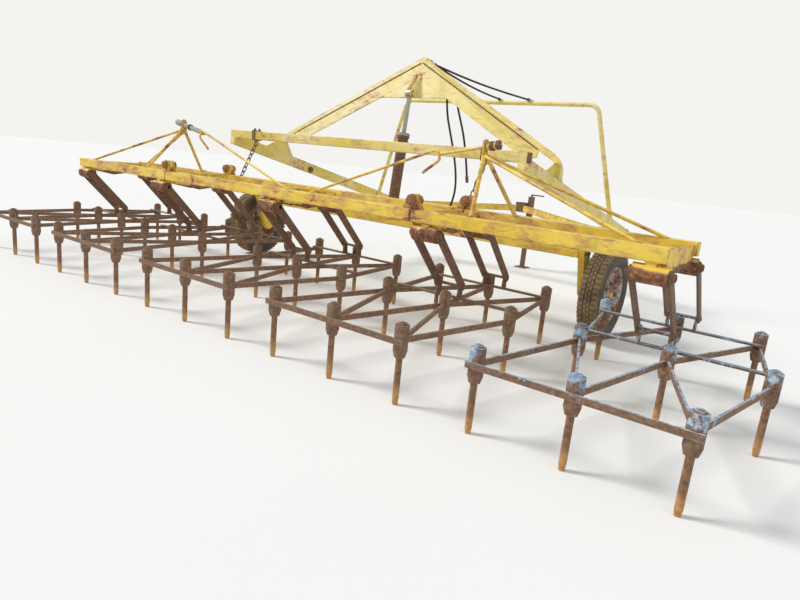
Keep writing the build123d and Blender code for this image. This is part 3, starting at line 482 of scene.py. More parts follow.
def grow(name, tree, finish, body, points, turns=None, stretches=None, edges=(), replaced=(),
         sharp=35, **sizes):
    """Runs a tree on points and keeps the result as one plain mesh on a body."""
    seed = bpy.data.meshes.new(name + " points")
    seed.from_pydata([tuple(p) for p in points], list(edges), [])
    for label, values, usual in (("turn", turns, (0, 0, 0)), ("stretch", stretches, (1, 1, 1))):
        data = seed.attributes.new(label, "FLOAT_VECTOR", "POINT").data
        for k, item in enumerate(data):
            item.vector = values[k] if values else usual
    maker = bpy.data.objects.new(name + " maker", seed)
    bpy.context.scene.collection.objects.link(maker)
    modifier = maker.modifiers.new("tree", "NODES")
    modifier.node_group = tree
    wanted = {"Finish": FINISH[finish], **sizes}
    for item in tree.interface.items_tree:
        if item.in_out == "INPUT" and item.name in wanted:
            modifier[item.identifier] = wanted[item.name]
    depsgraph = bpy.context.evaluated_depsgraph_get()
    mesh = bpy.data.meshes.new_from_object(maker.evaluated_get(depsgraph))
    bpy.data.objects.remove(maker)
    mesh.name = name
    mesh.shade_smooth()
    mesh.set_sharp_from_angle(angle=math.radians(sharp))
    return finished(name, mesh, finish, body, *replaced)


def moved(tree, shape, height, turn=(0, 0, 0)):
    """A shape turned, and then moved up by a height."""
    up = add(tree, "ShaderNodeCombineXYZ", {"Z": height})
    return add(tree, "GeometryNodeTransform",
               {"Geometry": shape, "Translation": up, "Rotation": turn})


def barrel_shape(tree, radius, depth, sides, lift=0.0):
    """A closed round or many-sided block along Z whose foot is lifted off the point."""
    block = add(tree, "GeometryNodeMeshCylinder",
                {"Vertices": sides, "Radius": radius, "Depth": depth})
    middle = add(tree, MATHS, {0: depth, 1: 0.5, 2: lift}, operation="MULTIPLY_ADD")
    return moved(tree, block, middle)


def camera():
    """The camera, at the photograph's place and angle."""
    yaw, tilt, roll = (math.radians(a) for a in (CAMERA_YAW, CAMERA_TILT, CAMERA_ROLL))
    ahead = Vector((math.sin(yaw) * math.cos(tilt), math.cos(yaw) * math.cos(tilt),
                    -math.sin(tilt)))
    level = Vector((math.cos(yaw), -math.sin(yaw), 0))
    down = ahead.cross(level)
    right = level * math.cos(roll) + down * math.sin(roll)
    up = level * math.sin(roll) - down * math.cos(roll)
    data = bpy.data.cameras.new("photo camera")
    data.sensor_width = SENSOR
    data.lens = CAMERA_LENS
    data.clip_start, data.clip_end = 0.05, 200
    cam = bpy.data.objects.new("photo_camera", data)
    bpy.context.scene.collection.objects.link(cam)
    turn = Matrix((right, up, -ahead)).transposed().to_4x4()
    cam.matrix_world = Matrix.Translation(CAMERA_AT) @ turn
    bpy.context.scene.camera = cam


def studio():
    """A pale floor and backdrop, a soft key from the photograph's sun side and a soft fill."""
    mesh = bpy.data.meshes.new("floor")
    corners = [(-1, -1), (1, -1), (1, 1), (-1, 1)]
    mesh.from_pydata([(x * FLOOR_HALF, y * FLOOR_HALF, 0) for x, y in corners], [],
                     [(0, 1, 2, 3)])
    floor = bpy.data.objects.new("floor", mesh)
    floor.data.materials.append(floor_paint())
    bpy.context.scene.collection.objects.link(floor)
    for name, strength, width, tilt, turn in LIGHTS:
        data = bpy.data.lights.new(name, "SUN")
        data.energy = strength
        data.angle = math.radians(width)
        lamp = bpy.data.objects.new(name, data)
        lamp.rotation_euler = (math.radians(tilt), 0, math.radians(turn))
        bpy.context.scene.collection.objects.link(lamp)
    world = bpy.data.worlds.new("studio")
    bpy.context.scene.world = world
    world.use_nodes = True
    tree = world.node_tree
    tree.nodes.clear()
    ray = add(tree, "ShaderNodeLightPath").outputs
    seen = add(tree, MATHS, {0: ray["Is Camera Ray"], 1: ray["Is Glossy Ray"]},
               operation="MAXIMUM")
    sky = add(tree, "ShaderNodeBackground", {"Color": SKY_LIGHT, "Strength": 0.55})
    backdrop = add(tree, "ShaderNodeBackground", {"Color": BACKDROP, "Strength": 1.0})
    both = add(tree, "ShaderNodeMixShader", {0: seen, 1: sky, 2: backdrop})
    add(tree, "ShaderNodeOutputWorld", {"Surface": both})


# Places on the machine in millimetres, as in the part's source. Y starts at the rear beam's middle.
# A point is X, Y and Z, or Y and Z where its X comes from elsewhere.
FAR_Y = 608
BEAM_TOP = 900
HINGE_X = 1279
HINGE_Z = 950
HINGE_NUT_REACH = 30
SLEEVE_Z = 765
LEAF_PIN = (330, 430)
ARM_FACE = 97.5
WASHER_PLAY = 0.5
TINE_PITCH = 450
ROW_SHIFT = 150
ROWS = (-680, 160, 1000)
SOCKET_TOP = 400
LEAVES = (
    # number, middle of the rear row, middle of the sleeves, side, body
    (1, -2640, -2672, -1, "wing_left"),
    (2, -1320, -1390, -1, "wing_left"),
    (3, 0, 0, 1, "harrow_centre"),
    (4, 1320, 1390, 1, "wing_right"),
    (5, 2640, 2672, 1, "wing_right"),
)
CROSS_BEAM_Y = 870
CHAIN_X = 1225
CHAIN_ENDS = ((CROSS_BEAM_Y, 1213), (690, 862))
CHAIN_LINKS = 9
CHAIN_PAST = 8
LINK_BAR = 9.7
STRAP_HALF_GAP = 14
STRAP_HALF_WIDE = 42
STRAP_FOOT = 1231
STRAP_TOP = 1314
CLAMP_NUT_REACH = 26
CLAMP_NUT_Z = 1316

# The wings' peaks: the short rod's foot and run, and what sits along it
APEX = (1550, 304, 1300)
SHORT_ROD = (-350, 0, -68)
APEX_NUTS = (-66, -24)
OUTER_PIPE = -84
PIPE_BANDS = (-6, 110)

# The gantry's leaning plane, with its lean in degrees, and the seams along its legs
GANTRY_LEAN = 17.9
GANTRY_FOOT = (1400, 1150)
GANTRY_PEAK = 997
GANTRY_FALL = 847 / 1560
RAIL_INSET = 47
RAIL_STOPS = range(10, 1340, 60)
WEB_INSET = 165
WEB_STOPS = (10, 190, 360)
WEB_FACE = 11

# The lift arms' upper edge from the rear, the gussets on it, and the cross beam's ends and caps
ARM_REAR = (830, 1228)
ARM_FALL = 558
ARM_RUN = 2520
ARM_HALF = 51
ARM_BOLT = (1500, 1856, 985)
GUSSET_FOOT_Y = (1225, 1600)
GUSSET_HEAD_Y = (1500, 1428)
GUSSET_TOP = 1275
GUSSET_SUNK = 4
GUSSET_X = 1518
GUSSET_THICK = 12
# From low Y to high Y, and from low Z to high Z
BEAM_END = (832.5, 907.5, 1236, 1309)
BEAM_END_X = 1530
BEAM_END_LONG = 60
BEAM_CAP = (834, 906, 1238, 1307)
BEAM_CAP_X = 1561
BEAM_CAP_THICK = 3

# The pins and bolts of the lift and its cylinder, the cylinder's lugs, and the wheel legs' bolts
PIVOT = (3350, 670)
PIVOT_KEEPER_X = 1575
HEAD_PIN = (1545, 1760)
HEAD_PIN_HALF = 40
FOOT_PIN = (1450, 800)
FOOT_PIN_HALF = 50
KEEPER_SUNK = 8
# In radians, about the pin that it goes through
SPLIT_PIN_TURN = 0.5
BARREL_LONG = 620
GLAND_BACK = 25
FERRULE_BACK = 4
CYLINDER_LUG_SEAM = ((1592, 1736), (1660, 1946))
CYLINDER_LUG_FACES_X = (19, 33)
LEG_BOLTS = (1850, 1450, 670)
LEG_BOLT_REACH = 34

# Seams on the harrow: its sleeves' necks, the plates between its beams, hinge lugs and king posts
NECK_HALF_X = 24
NECK_HALF_Y = 28
NECK_SEAMS_Z = (823, SLEEVE_Z + 39)
PLATE_SEAM_Y = (38, 570)
PLATE_SEAM_Z = (884, 802)
PLATE_HALF = 6
CENTRE_PLATES_X = (91.5, 1263)
WING_PLATES_X = (1390, 2720)
CENTRE_LUGS_X = (1222, 1274)
CENTRE_LUG_Y = (-24, 24)
WING_LUGS_X = (1284, 1336)
WING_LUG_HALF = 17
KING_POST_X = 1656
KING_POST_RADIUS = 16
KING_POST_SEAM = 901
KING_POST_ANGLES = (0, 1, 2, 3, 4, 5, math.tau)

# Each hose's route from its socket, as in the part's source, and a hose's radius
HOSES = {
    "hose_to_hoop_inner": [
        (40, 1770, 2065), (47, 1970, 2027), (55, 2180, 1994), (62, 2390, 1966), (70, 2600, 1944),
        (78, 2810, 1928), (85, 3015, 1918)],
    "hose_to_hoop_outer": [
        (90, 1765, 2040), (146, 1973, 2008), (202, 2182, 1981), (258, 2390, 1959),
        (314, 2599, 1942), (370, 2807, 1928), (425, 3015, 1918)],
    "hanging_hose_inner": [
        (350, 1618, 1755), (375, 1602, 1620), (437, 1598, 1451), (490, 1600, 1300),
        (530, 1604, 1150), (550, 1606, 1010), (540, 1606, 900), (520, 1606, 838)],
    "hanging_hose_outer": [
        (473, 1598, 1692), (529, 1586, 1568), (583, 1582, 1440), (617, 1582, 1318),
        (645, 1582, 1200), (664, 1582, 1100)],
}
HOSE_R = 9


def hoses():
    """The four hydraulic hoses, slack between their sockets or hanging by their own weight."""
    for name, points in HOSES.items():
        curve = bpy.data.curves.new(name, "CURVE")
        curve.dimensions = "3D"
        curve.bevel_depth = HOSE_R * MM
        curve.bevel_resolution = 3
        curve.use_fill_caps = True
        spline = curve.splines.new("NURBS")
        spline.points.add(len(points) - 1)
        for point, place in zip(spline.points, points):
            point.co = (*at(*place), 1.0)
        spline.order_u = 3
        spline.use_endpoint_u = True
        spline.resolution_u = 12
        curve.materials.append(FINISH["hose_rubber"])
        obj = bpy.data.objects.new(name + "_cover", curve)
        bpy.context.scene.collection.objects.link(obj)
        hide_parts(name)
        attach(obj, "lift_frame")


# How far each CAD node's edges are rounded, in millimetres, and its finish
DRESSED = {
    "axle_beam": (4, "beam_enamel"),
    "wheel_legs": (3, "beam_enamel"),
    "side_rails": (6, "lift_enamel"),
    "front_cross_tube": (5, "lift_enamel"),
    "drawbar_legs": (4, "beam_enamel"),
    "hitch_block": (1, "rusty_steel"),
    "jack_tube": (3, "rusty_steel"),
    "jack_leg": (2, "rusty_steel"),
    "rim_left": (2, "rim_steel"),
    "rim_right": (2, "rim_steel"),
    "lift_cross_beam": (2, "lift_enamel"),
    "lift_arms": (3.5, "lift_enamel"),
    "gantry_legs": (5, "lift_enamel"),
    "peak_gusset": (1.5, "lift_enamel"),
    "hose_hoop": (0.5, "lift_enamel"),
    "cylinder_barrel": (3, "rusty_steel"),
    "cylinder_rod": (2, "chrome"),
    "centre_beams": (2, "beam_enamel"),
    "centre_hangers": (2, "sleeve_enamel"),
    "tie_rods": (1, "beam_enamel"),
    "wing_beams_left": (2, "beam_enamel"),
    "wing_beams_right": (2, "beam_enamel"),
    "wing_hangers_left": (2, "sleeve_enamel"),
    "wing_hangers_right": (2, "sleeve_enamel"),
    "king_post_left": (1.5, "beam_enamel"),
    "king_post_right": (1.5, "beam_enamel"),
    "stay_rods_left": (1, "beam_enamel"),
    "stay_rods_right": (1, "beam_enamel"),
    "pipe_sleeve_left": (1, "grey_pipe"),
}


def nut_tree():
    """A plain washer, a hexagon nut and the end of its bolt, standing on their point."""
    tree, inputs = start_tree("nut on a washer", Nut=0.024, Height=0.014, Washer=0.027,
                              Thick=0.003, Bolt=0.012, Proud=0.006)
    washer = barrel_shape(tree, inputs["Washer"], inputs["Thick"], 24)
    nut = barrel_shape(tree, inputs["Nut"], inputs["Height"], 6)
    reach = add(tree, MATHS, {0: inputs["Height"], 1: inputs["Proud"]}, operation="ADD")
    bolt = barrel_shape(tree, inputs["Bolt"], reach, 12)
    joined = add(tree, "GeometryNodeJoinGeometry", {0: [washer, nut, bolt]})
    end_tree(tree, inputs, joined)
    return tree


def pin_tree():
    """A washer with a split pin through the shaft in front of it."""
    tree, inputs = start_tree("split pin and washer", Washer=0.018, Thick=0.003, Pin=0.0022,
                              Length=0.034, Away=0.0065)
    washer = barrel_shape(tree, inputs["Washer"], inputs["Thick"], 20)
    rod = barrel_shape(tree, inputs["Pin"], inputs["Length"], 8)
    half = add(tree, MATHS, {0: inputs["Length"], 1: -0.5}, operation="MULTIPLY")
    across = moved(tree, moved(tree, rod, half), inputs["Away"], (math.pi / 2, 0, SPLIT_PIN_TURN))
    joined = add(tree, "GeometryNodeJoinGeometry", {0: [washer, across]})
    end_tree(tree, inputs, joined)
    return tree


def cap_tree():
    """The washer over a tine's socket, and the tine's threaded end through its nut."""
    tree, inputs = start_tree("socket washer and stud", Washer=0.036, Thick=0.009, Stud=0.012,
                              Height=0.023)
    washer = barrel_shape(tree, inputs["Washer"], inputs["Thick"], 24)
    stud = barrel_shape(tree, inputs["Stud"], inputs["Height"], 12)
    joined = add(tree, "GeometryNodeJoinGeometry", {0: [washer, stud]})
    end_tree(tree, inputs, joined)
    return tree


def tine_tree():
    """A round shank from its point on the ground, with a short blunt taper."""
    tree, inputs = start_tree("tine shank", Shank=0.0165, Tip=0.0125, Taper=0.03, Length=0.25)
    taper = add(tree, "GeometryNodeMeshCone",
                {"Vertices": 20, "Radius Top": inputs["Shank"], "Radius Bottom": inputs["Tip"],
                 "Depth": inputs["Taper"]})
    rest = add(tree, MATHS, {0: inputs["Length"], 1: inputs["Taper"]}, operation="SUBTRACT")
    shank = barrel_shape(tree, inputs["Shank"], rest, 20, inputs["Taper"])
    joined = add(tree, "GeometryNodeJoinGeometry", {0: [taper, shank]})
    end_tree(tree, inputs, joined)
    return tree


def link_tree():
    """One welded chain link of round bar."""
    tree, inputs = start_tree("chain link", Long=0.055, Wide=0.03, Bar=0.0048, Corner=0.0148)
    loop = add(tree, "GeometryNodeCurvePrimitiveQuadrilateral",
               {"Width": inputs["Long"], "Height": inputs["Wide"]})
    loop = add(tree, "GeometryNodeFilletCurve",
               {"Curve": loop, "Radius": inputs["Corner"], "Count": 5}, mode="POLY")
    section = add(tree, "GeometryNodeCurvePrimitiveCircle",
                  {"Radius": inputs["Bar"], "Resolution": 8})
    link = add(tree, "GeometryNodeCurveToMesh", {"Curve": loop, "Profile Curve": section})
    end_tree(tree, inputs, link)
    return tree


def bead_tree():
    """A run of weld along each edge between the points, uneven as it is laid by hand."""
    tree, inputs = start_tree("weld bead", Bead=0.005, Step=0.006)
    line = add(tree, "GeometryNodeMeshToCurve", {0: inputs["Points"]})
    line = add(tree, "GeometryNodeResampleCurve", {"Curve": line, "Length": inputs["Step"]},
               mode="LENGTH")
    place = add(tree, "GeometryNodeInputPosition")
    swell = add(tree, NOISE, {"Vector": place, "Scale": 140.0, "Detail": 2.0})
    radius = add(tree, MATHS, {0: swell, 1: 1.1, 2: 0.45}, operation="MULTIPLY_ADD")
    line = add(tree, "GeometryNodeSetCurveRadius", {"Curve": line, "Radius": radius})
    section = add(tree, "GeometryNodeCurvePrimitiveCircle",
                  {"Radius": inputs["Bead"], "Resolution": 6})
    bead = add(tree, "GeometryNodeCurveToMesh",
               {"Curve": line, "Profile Curve": section, "Fill Caps": True, "Scale": radius})
    close_tree(tree, inputs, bead)
    return tree


def facing(*direction):
    """The turn that points an item's Z along a direction."""
    return Vector(direction).to_track_quat("Z", "Y").to_euler()


def weld_runs(name, tree, finish, body, lines, radius_mm):
    """Weld runs along several lines, each a list of points."""
    points, edges = [], []
    for line in lines:
        first = len(points)
        points += [at(*place) for place in line]
        edges += [(k, k + 1) for k in range(first, len(points) - 1)]
    return grow(name, tree, finish, body, points, edges=edges, sharp=80, Bead=radius_mm * MM)


def tine_places(rear_x, side):
    """Where a leaf's nine tines stand."""
    return [(rear_x + (step * TINE_PITCH + shift) * side, y)
            for y, shift in zip(ROWS, (0, ROW_SHIFT, 0)) for step in (-1, 0, 1)]


def leaves(nuts, pins):
    """The leaves and their arms: tines, washers and studs, nuts at the sleeves and split pins."""
    caps, tines = cap_tree(), tine_tree()
    for number, rear_x, sleeve_x, side, _ in LEAVES:
        finish = "blue_worn_steel" if number == 5 else "leaf_steel"
        dress(f"leaf_frame_{number}", 1.5, finish, 42)
        places = tine_places(rear_x, side)
        grow(f"forged_tines_{number}", tines, "tine_steel", f"leaf_{number}",
             [at(x, y, 0) for x, y in places], replaced=(f"leaf_tines_{number}",))
        spots = [at(x, y, SOCKET_TOP) for x, y in places]
        grow(f"socket_caps_{number}", caps, finish, f"leaf_{number}", spots)
        ends = [(out, sleeve_x + out * ARM_FACE) for out in (-1, 1)]
        for row, y in (("near", 0), ("far", FAR_Y)):
            body = f"{row}_arms_{number}"
            dress(body, 1.5, "rusty_steel", 35)
            grow(f"{row}_arm_nuts_{number}", nuts, "rusty_steel", body,
                 [at(x, y, SLEEVE_Z) for _, x in ends], [facing(out, 0, 0) for out, _ in ends],
                 Proud=0.004)
        low = [(out, x + out * WASHER_PLAY, y)
               for out, x in ends for y in (LEAF_PIN[0], FAR_Y + LEAF_PIN[0])]
        grow(f"leaf_split_pins_{number}", pins, finish, f"leaf_{number}",
             [at(x, y, LEAF_PIN[1]) for _, x, y in low],
             [facing(out, 0, 0) for out, _, _ in low], Length=0.026)


def lift_chains():
    """Eighteen welded links in place of the plain ones."""
    (top_y, top_z), (low_y, low_z) = CHAIN_ENDS
    start, low = at(0, top_y, top_z), at(0, low_y, low_z)
    run = (low - start).normalized()
    past = CHAIN_PAST * MM
    inside = ((low - start).length + 2 * past) / CHAIN_LINKS
    points, turns = [], []
    for side in (-1, 1):
        top = start + Vector((side * CHAIN_X * MM, 0, 0))
        for k in range(CHAIN_LINKS):
            points.append(top + run * (inside * (k + 0.5) - past))
            flat = Vector((1, 0, 0)) if k % 2 == 0 else run.cross(Vector((1, 0, 0)))
            turns.append(Matrix((run, flat.cross(run), flat)).transposed().to_euler())
    grow("welded_lift_chains", link_tree(), "rusty_steel", "harrow_centre", points, turns,
         replaced=("lift_chains",), Long=inside + LINK_BAR * MM)


def harrow_nuts(nuts):
    """Rusted nuts at both ends of the wings' hinge pins, and two on the right peak's rod."""
    spots = [(side * HINGE_X, y + out * HINGE_NUT_REACH, HINGE_Z, out)
             for side in (-1, 1) for y in (0, FAR_Y) for out in (-1, 1)]
    grow("hinge_nuts", nuts, "bolt_steel", "harrow_centre", [at(*s[:3]) for s in spots],
         [facing(0, s[3], 0) for s in spots], Nut=0.033, Height=0.022, Washer=0.036, Bolt=0.017)
    run = Vector(SHORT_ROD).normalized()
    places = [Vector(APEX) + run * along for along in APEX_NUTS]
    grow("apex_nuts", nuts, "rusty_steel", "wing_right", [at(*place) for place in places],
         [facing(*-run)] * 2, Nut=0.031, Height=0.02, Washer=0.027, Bolt=0.021, Proud=0.004)


def lift_nuts(nuts):
    """The bolts through the lift arms and the nuts on top of the chains' clamps."""
    bolt_x, bolt_y, bolt_z = ARM_BOLT
    grow("lift_arm_bolts", nuts, "rusty_steel", "lift_frame",
         [at(side * bolt_x, bolt_y, bolt_z) for side in (-1, 1)],
         [facing(-side, 0, 0) for side in (-1, 1)], Nut=0.03, Height=0.02, Washer=0.034,
         Bolt=0.016)
    spots = [at(side * CHAIN_X, CROSS_BEAM_Y + out * CLAMP_NUT_REACH, CLAMP_NUT_Z)
             for side in (-1, 1) for out in (-1, 1)]
    grow("chain_clamp_nuts", nuts, "rusty_steel", "lift_frame", spots, Nut=0.013, Height=0.01,
         Washer=0.014, Bolt=0.007, Proud=0.012)


def pin_keepers(pins):
    """Washers and split pins on the cylinder's two pins and on the lift's pivots."""
    both_ways = [facing(out, 0, 0) for out in (-1, 1)]
    for number, body, half, place in ((1, "lift_frame", HEAD_PIN_HALF, HEAD_PIN),
                                      (2, "chassis", FOOT_PIN_HALF, FOOT_PIN)):
        grow(f"cylinder_pin_keepers_{number}", pins, "rusty_steel", body,
             [at(out * (half - KEEPER_SUNK), *place) for out in (-1, 1)], both_ways,
             Washer=0.026, Length=0.046, Away=0.005)
    grow("pivot_keepers", pins, "rusty_steel", "chassis",
         [at(out * PIVOT_KEEPER_X, *PIVOT) for out in (-1, 1)], both_ways, Washer=0.036,
         Length=0.06, Pin=0.0035, Away=0.0038)


def wheel_leg_bolts(nuts):
    """Four bolts on each wheel leg's outer face."""
    leg_x, leg_y, leg_z = LEG_BOLTS
    bolts = [(side, side * leg_x, leg_y + out_y * LEG_BOLT_REACH, leg_z + out_z * LEG_BOLT_REACH)
             for side in (-1, 1) for out_y in (-1, 1) for out_z in (-1, 1)]
    grow("wheel_leg_bolts", nuts, "rusty_steel", "chassis", [at(*b[1:]) for b in bolts],
         [facing(b[0], 0, 0) for b in bolts], Nut=0.014, Height=0.011, Washer=0.015, Bolt=0.008)


def gantry_point(x, v, ahead=0.0):
    """A point in the gantry's leaning plane, v up the slope from its foot."""
    lean = math.radians(GANTRY_LEAN)
    foot_y, foot_z = GANTRY_FOOT
    return (x, foot_y + v * math.sin(lean) + ahead * math.cos(lean),
            foot_z + v * math.cos(lean) - ahead * math.sin(lean))


def gantry_edge(x, inset):
    """Height in that plane of a leg's upper edge, moved inwards by inset."""
    return GANTRY_PEAK - inset * math.hypot(1, GANTRY_FALL) - GANTRY_FALL * abs(x)


def gantry_welds(tree):
    """Runs along the rail and the web of the gantry, and up the cylinder's lugs."""
    seams = []
    for side in (-1, 1):
        seams.append([gantry_point(side * x, gantry_edge(x, RAIL_INSET)) for x in RAIL_STOPS])
        seams.append([gantry_point(side * x, gantry_edge(x, WEB_INSET), WEB_FACE)
                      for x in WEB_STOPS])
    weld_runs("gantry_seams", tree, "rusty_steel", "lift_frame", seams, 6)
    lugs = [[(side * x, *end) for end in CYLINDER_LUG_SEAM]
            for side in (-1, 1) for x in CYLINDER_LUG_FACES_X]
    weld_runs("cylinder_lug_welds", tree, "lift_enamel", "lift_frame", lugs, 5)


def neck_welds(tree):
    """Runs round the sleeves' necks, under the beams and on top of the sleeves."""
    corners = [(-1, -1), (1, -1), (1, 1), (-1, 1), (-1, -1)]
    for body in ("harrow_centre", "wing_left", "wing_right"):
        lines = [[(x + across * NECK_HALF_X, y + along * NECK_HALF_Y, z)
                  for across, along in corners]
                 for _, _, x, _, held in LEAVES if held == body
                 for y in (0, FAR_Y) for z in NECK_SEAMS_Z]
        weld_runs(f"neck_welds_{body}", tree, "sleeve_enamel", body, lines, 5)


def plate_seams(places):
    """Upright runs on both faces of each plate, where it meets the near and the far beam."""
    return [[(x + out * PLATE_HALF, y, z) for z in PLATE_SEAM_Z]
            for x in places for y in PLATE_SEAM_Y for out in (-1, 1)]


def beam_welds(tree):
    """Runs at the plates between the beams, at the hinge lugs and round the king posts' feet."""
    lines = plate_seams([x * side for side in (-1, 1) for x in CENTRE_PLATES_X])
    lines += [[(side * x, y + middle + out * PLATE_HALF, BEAM_TOP) for x in CENTRE_LUGS_X]
              for side in (-1, 1) for y in (0, FAR_Y) for middle in CENTRE_LUG_Y
              for out in (1, -1)]
    weld_runs("centre_plate_welds", tree, "beam_enamel", "harrow_centre", lines, 4)
    for side, wing in ((-1, "wing_left"), (1, "wing_right")):
        lines = plate_seams([side * x for x in WING_PLATES_X])
        lines += [[(side * x, y + out * WING_LUG_HALF, BEAM_TOP) for x in WING_LUGS_X]
                  for y in (0, FAR_Y) for out in (-1, 1)]
        lines += [[(side * (KING_POST_X + KING_POST_RADIUS * math.cos(angle)),
                    y + KING_POST_RADIUS * math.sin(angle), KING_POST_SEAM)
                   for angle in KING_POST_ANGLES] for y in (0, FAR_Y)]
        weld_runs(f"plate_welds_{wing}", tree, "beam_enamel", wing, lines, 4)


# The tyre from its middle to its bead: distance from the middle and radius, in millimetres
TYRE_HALF = ((0, 343), (22, 343), (24, 338), (28, 338), (30, 343), (54, 341), (68, 331), (78, 312),
             (83, 290), (84, 272), (80, 252), (76, 246), (74, 238), (66, 226), (60, 215.5))
TYRE_STEPS = 72
TREAD_BLOCKS = 56
TREAD_ROWS = (
    # place across the tyre, radius, and how far a block is stretched
    (-48, 342.5, (1.25, 1, 1)),
    (-11, 344.5, (0.55, 1.1, 1)),
    (11, 344.5, (0.55, 1.1, 1)),
    (48, 342.5, (1.25, 1, 1)),
)
WHEEL_NUTS = 5
WHEEL_NUT_RING = 83
WHEEL_NUT_OUT = 30


def round_wheel(middle, across, radius, angle):
    """A place at some radius and angle round a wheel's axle, across millimetres along it."""
    return at(middle[0] + across, middle[1] + radius * math.cos(angle),
              middle[2] + radius * math.sin(angle))


def tyre_carcass(middle):
    """A closed tyre without its blocks: the section turned about the wheel's axle."""
    section = [(-across, radius) for across, radius in reversed(TYRE_HALF[1:])] + list(TYRE_HALF)
    shape = bmesh.new()
    rings = [[shape.verts.new(round_wheel(middle, across, radius, math.tau * k / TYRE_STEPS))
              for across, radius in section] for k in range(TYRE_STEPS)]
    for k in range(TYRE_STEPS):
        here, there = rings[k], rings[(k + 1) % TYRE_STEPS]
        for j in range(len(section)):
            n = (j + 1) % len(section)
            shape.faces.new((here[j], here[n], there[n], there[j]))
    bmesh.ops.recalc_face_normals(shape, faces=shape.faces)
    mesh = bpy.data.meshes.new("tyre carcass")
    shape.to_mesh(mesh)
    shape.free()
    mesh.shade_smooth()
    mesh.set_sharp_from_angle(angle=math.radians(40))
    return mesh


def tread_tree():
    """One worn tread block."""
    tree, inputs = start_tree("tread block", Long=0.024, Wide=0.03, High=0.01)
    size = add(tree, "ShaderNodeCombineXYZ",
               {"X": inputs["Wide"], "Y": inputs["Long"], "Z": inputs["High"]})
    block = add(tree, "GeometryNodeMeshCube", {"Size": size})
    end_tree(tree, inputs, block)
    return tree


def tyre_tread(name, tread, wheel, middle):
    """Rows of blocks round a tyre, every other row half a step on."""
    points, turns, stretches = [], [], []
    for row, (across, radius, stretch) in enumerate(TREAD_ROWS):
        for k in range(TREAD_BLOCKS):
            angle = math.tau * (k + 0.5 * (row % 2)) / TREAD_BLOCKS
            points.append(round_wheel(middle, across, radius, angle))
            turns.append((angle - math.pi / 2, 0, 0))
            stretches.append(stretch)
    grow(name, tread, "tyre", wheel, points, turns, stretches)


def wheels(nuts):
    """The two tyres with their tread, and the nuts that hold the rims."""
    tread = tread_tree()
    for side, wheel in ((-1, "wheel_left"), (1, "wheel_right")):
        middle = (side * WHEEL[0], *WHEEL[1:])
        tyre = wheel.replace("wheel", "tyre")
        finished(f"{tyre}_carcass", tyre_carcass(middle), "tyre", wheel, tyre)
        tyre_tread(f"{tyre}_tread", tread, wheel, middle)
        bolts = [round_wheel(middle, side * WHEEL_NUT_OUT, WHEEL_NUT_RING,
                             math.tau * k / WHEEL_NUTS) for k in range(WHEEL_NUTS)]
        grow(f"wheel_nuts_{wheel}", nuts, "rusty_steel", wheel, bolts,
             [facing(side, 0, 0)] * WHEEL_NUTS, Nut=0.013, Height=0.014, Washer=0.017, Bolt=0.007)


def band_tree():
    """A closed round band, a ring's radius across and a band's width along."""
    tree, inputs = start_tree("round band", Ring=0.0215, Band=0.014)
    end_tree(tree, inputs, barrel_shape(tree, inputs["Ring"], inputs["Band"], 28))
    return tree


def grey_pipe_end(band):
    """The outer end of the left peak's grey pipe, and the black bands that clamp it."""
    run = Vector(SHORT_ROD).normalized()
    facing_in = facing(-run.x, 0, run.z)
    pipe, *bands = (Vector(APEX) + run * along for along in (OUTER_PIPE, *PIPE_BANDS))
    grow("outer_grey_pipe", band, "grey_pipe", "wing_left", [at(-pipe.x, *pipe.yz)],
         [facing_in], Ring=0.025, Band=0.098)
    grow("pipe_clamp_bands", band, "hose_rubber", "wing_left",
         [at(-p.x, p.y, p.z) for p in bands], [facing_in] * 2, Ring=0.027, Band=0.012)


def hose_ferrules(band):
    """Steel ferrules where the hoses leave their sockets."""
    points, turns = [], []
    for name, route in HOSES.items():
        ends = [(route[0], route[1])]
        if not name.startswith("hanging"):
            ends.append((route[-1], route[-2]))
        for end, inner in ends:
            out = at(*end) - at(*inner)
            points.append(at(*end) - out.normalized() * (FERRULE_BACK * MM))
            turns.append(facing(*out))
    grow("hose_ferrules", band, "rusty_steel", "lift_frame", points, turns, Ring=0.0155,
         Band=0.02)


def gland_ring(band):
    """The screwed gland at the upper end of the cylinder's barrel."""
    foot, head = at(0, *FOOT_PIN), at(0, *HEAD_PIN)
    run = (head - foot).normalized()
    grow("cylinder_gland_ring", band, "grey_pipe", "cylinder_barrel",
         [foot + run * (BARREL_LONG - GLAND_BACK) * MM], [facing(*run)], Ring=0.0572, Band=0.0235)


def plate(name, outline, x, thick, finish, body):
    """A flat plate in the plane of Y and Z, on one side and its mirror image on the other."""
    shape = bmesh.new()
    for side in (-1, 1):
        faces = [[shape.verts.new(at(side * (x + out * thick / 2), y, z)) for y, z in outline]
                 for out in (-1, 1)]
        shape.faces.new(faces[0])
        shape.faces.new(faces[1])
        for k in range(len(outline)):
            n = (k + 1) % len(outline)
            shape.faces.new((faces[0][k], faces[0][n], faces[1][n], faces[1][k]))
    bmesh.ops.recalc_face_normals(shape, faces=shape.faces)
    mesh = bpy.data.meshes.new(name)
    shape.to_mesh(mesh)
    shape.free()
    return finished(name, mesh, finish, body)


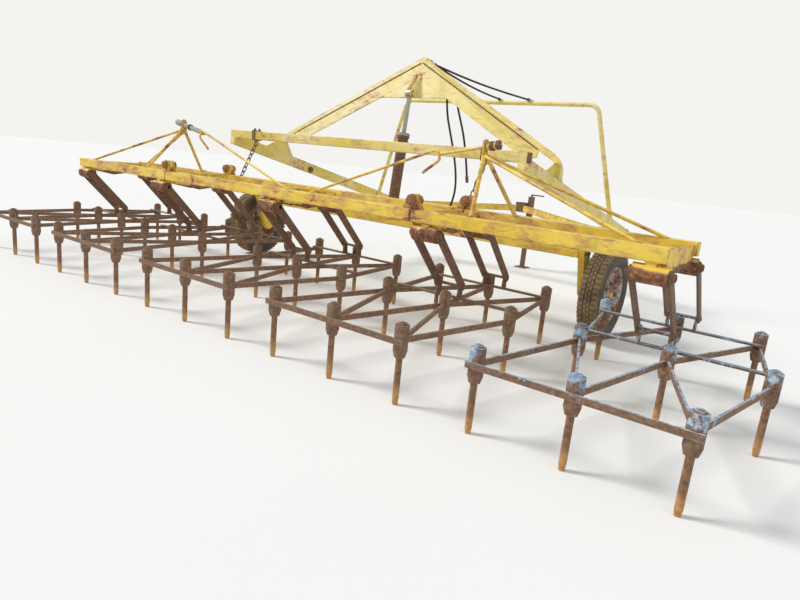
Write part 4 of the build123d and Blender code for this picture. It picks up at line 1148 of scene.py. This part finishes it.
def arm_top(y):
    """Height of the lift arm's top edge."""
    rear_y, rear_z = ARM_REAR
    return rear_z - (y - rear_y) * ARM_FALL / ARM_RUN + ARM_HALF


def rectangle(low_y, high_y, low_z, high_z):
    """The corners of an upright rectangle."""
    return [(low_y, low_z), (high_y, low_z), (high_y, high_z), (low_y, high_z)]


def plates():
    """The gussets at the gantry's feet and the ends of the cross beam over the lift arms."""
    gusset = [(y, arm_top(y) - GUSSET_SUNK) for y in GUSSET_FOOT_Y]
    gusset += [(y, GUSSET_TOP) for y in GUSSET_HEAD_Y]
    plate("gantry_foot_gussets", gusset, GUSSET_X, GUSSET_THICK, "lift_enamel", "lift_frame")
    plate("cross_beam_ends", rectangle(*BEAM_END), BEAM_END_X, BEAM_END_LONG, "lift_enamel",
          "lift_frame")
    plate("cross_beam_end_plates", rectangle(*BEAM_CAP), BEAM_CAP_X, BEAM_CAP_THICK,
          "rusty_steel", "lift_frame")


def clamps(tree):
    """The flat clamp straps over the cross beam that carry the chains' lugs."""
    loops = []
    corners = [(-1, STRAP_FOOT), (-1, STRAP_TOP), (1, STRAP_TOP), (1, STRAP_FOOT),
               (-1, STRAP_FOOT)]
    for side in (-1, 1):
        for x in (side * CHAIN_X - STRAP_HALF_GAP, side * CHAIN_X + STRAP_HALF_GAP):
            loops.append([(x, CROSS_BEAM_Y + out * STRAP_HALF_WIDE, z) for out, z in corners])
    weld_runs("cross_beam_clamps", tree, "rusty_steel", "lift_frame", loops, 5)


bpy.context.scene.view_settings.view_transform = "Standard"
camera()
hoses()
studio()
for node, (width, finish) in DRESSED.items():
    dress(node, width, finish)
for node in ("hose_coupling_inner", "hose_coupling_outer"):
    nodes[node].data.materials.clear()
    nodes[node].data.materials.append(FINISH["rusty_steel"])
nut, split_pin, band, bead = nut_tree(), pin_tree(), band_tree(), bead_tree()
leaves(nut, split_pin)
lift_chains()
harrow_nuts(nut)
lift_nuts(nut)
pin_keepers(split_pin)
wheel_leg_bolts(nut)
plates()
clamps(bead)
grey_pipe_end(band)
hose_ferrules(band)
gland_ring(band)
wheels(nut)
gantry_welds(bead)
neck_welds(bead)
beam_welds(bead)
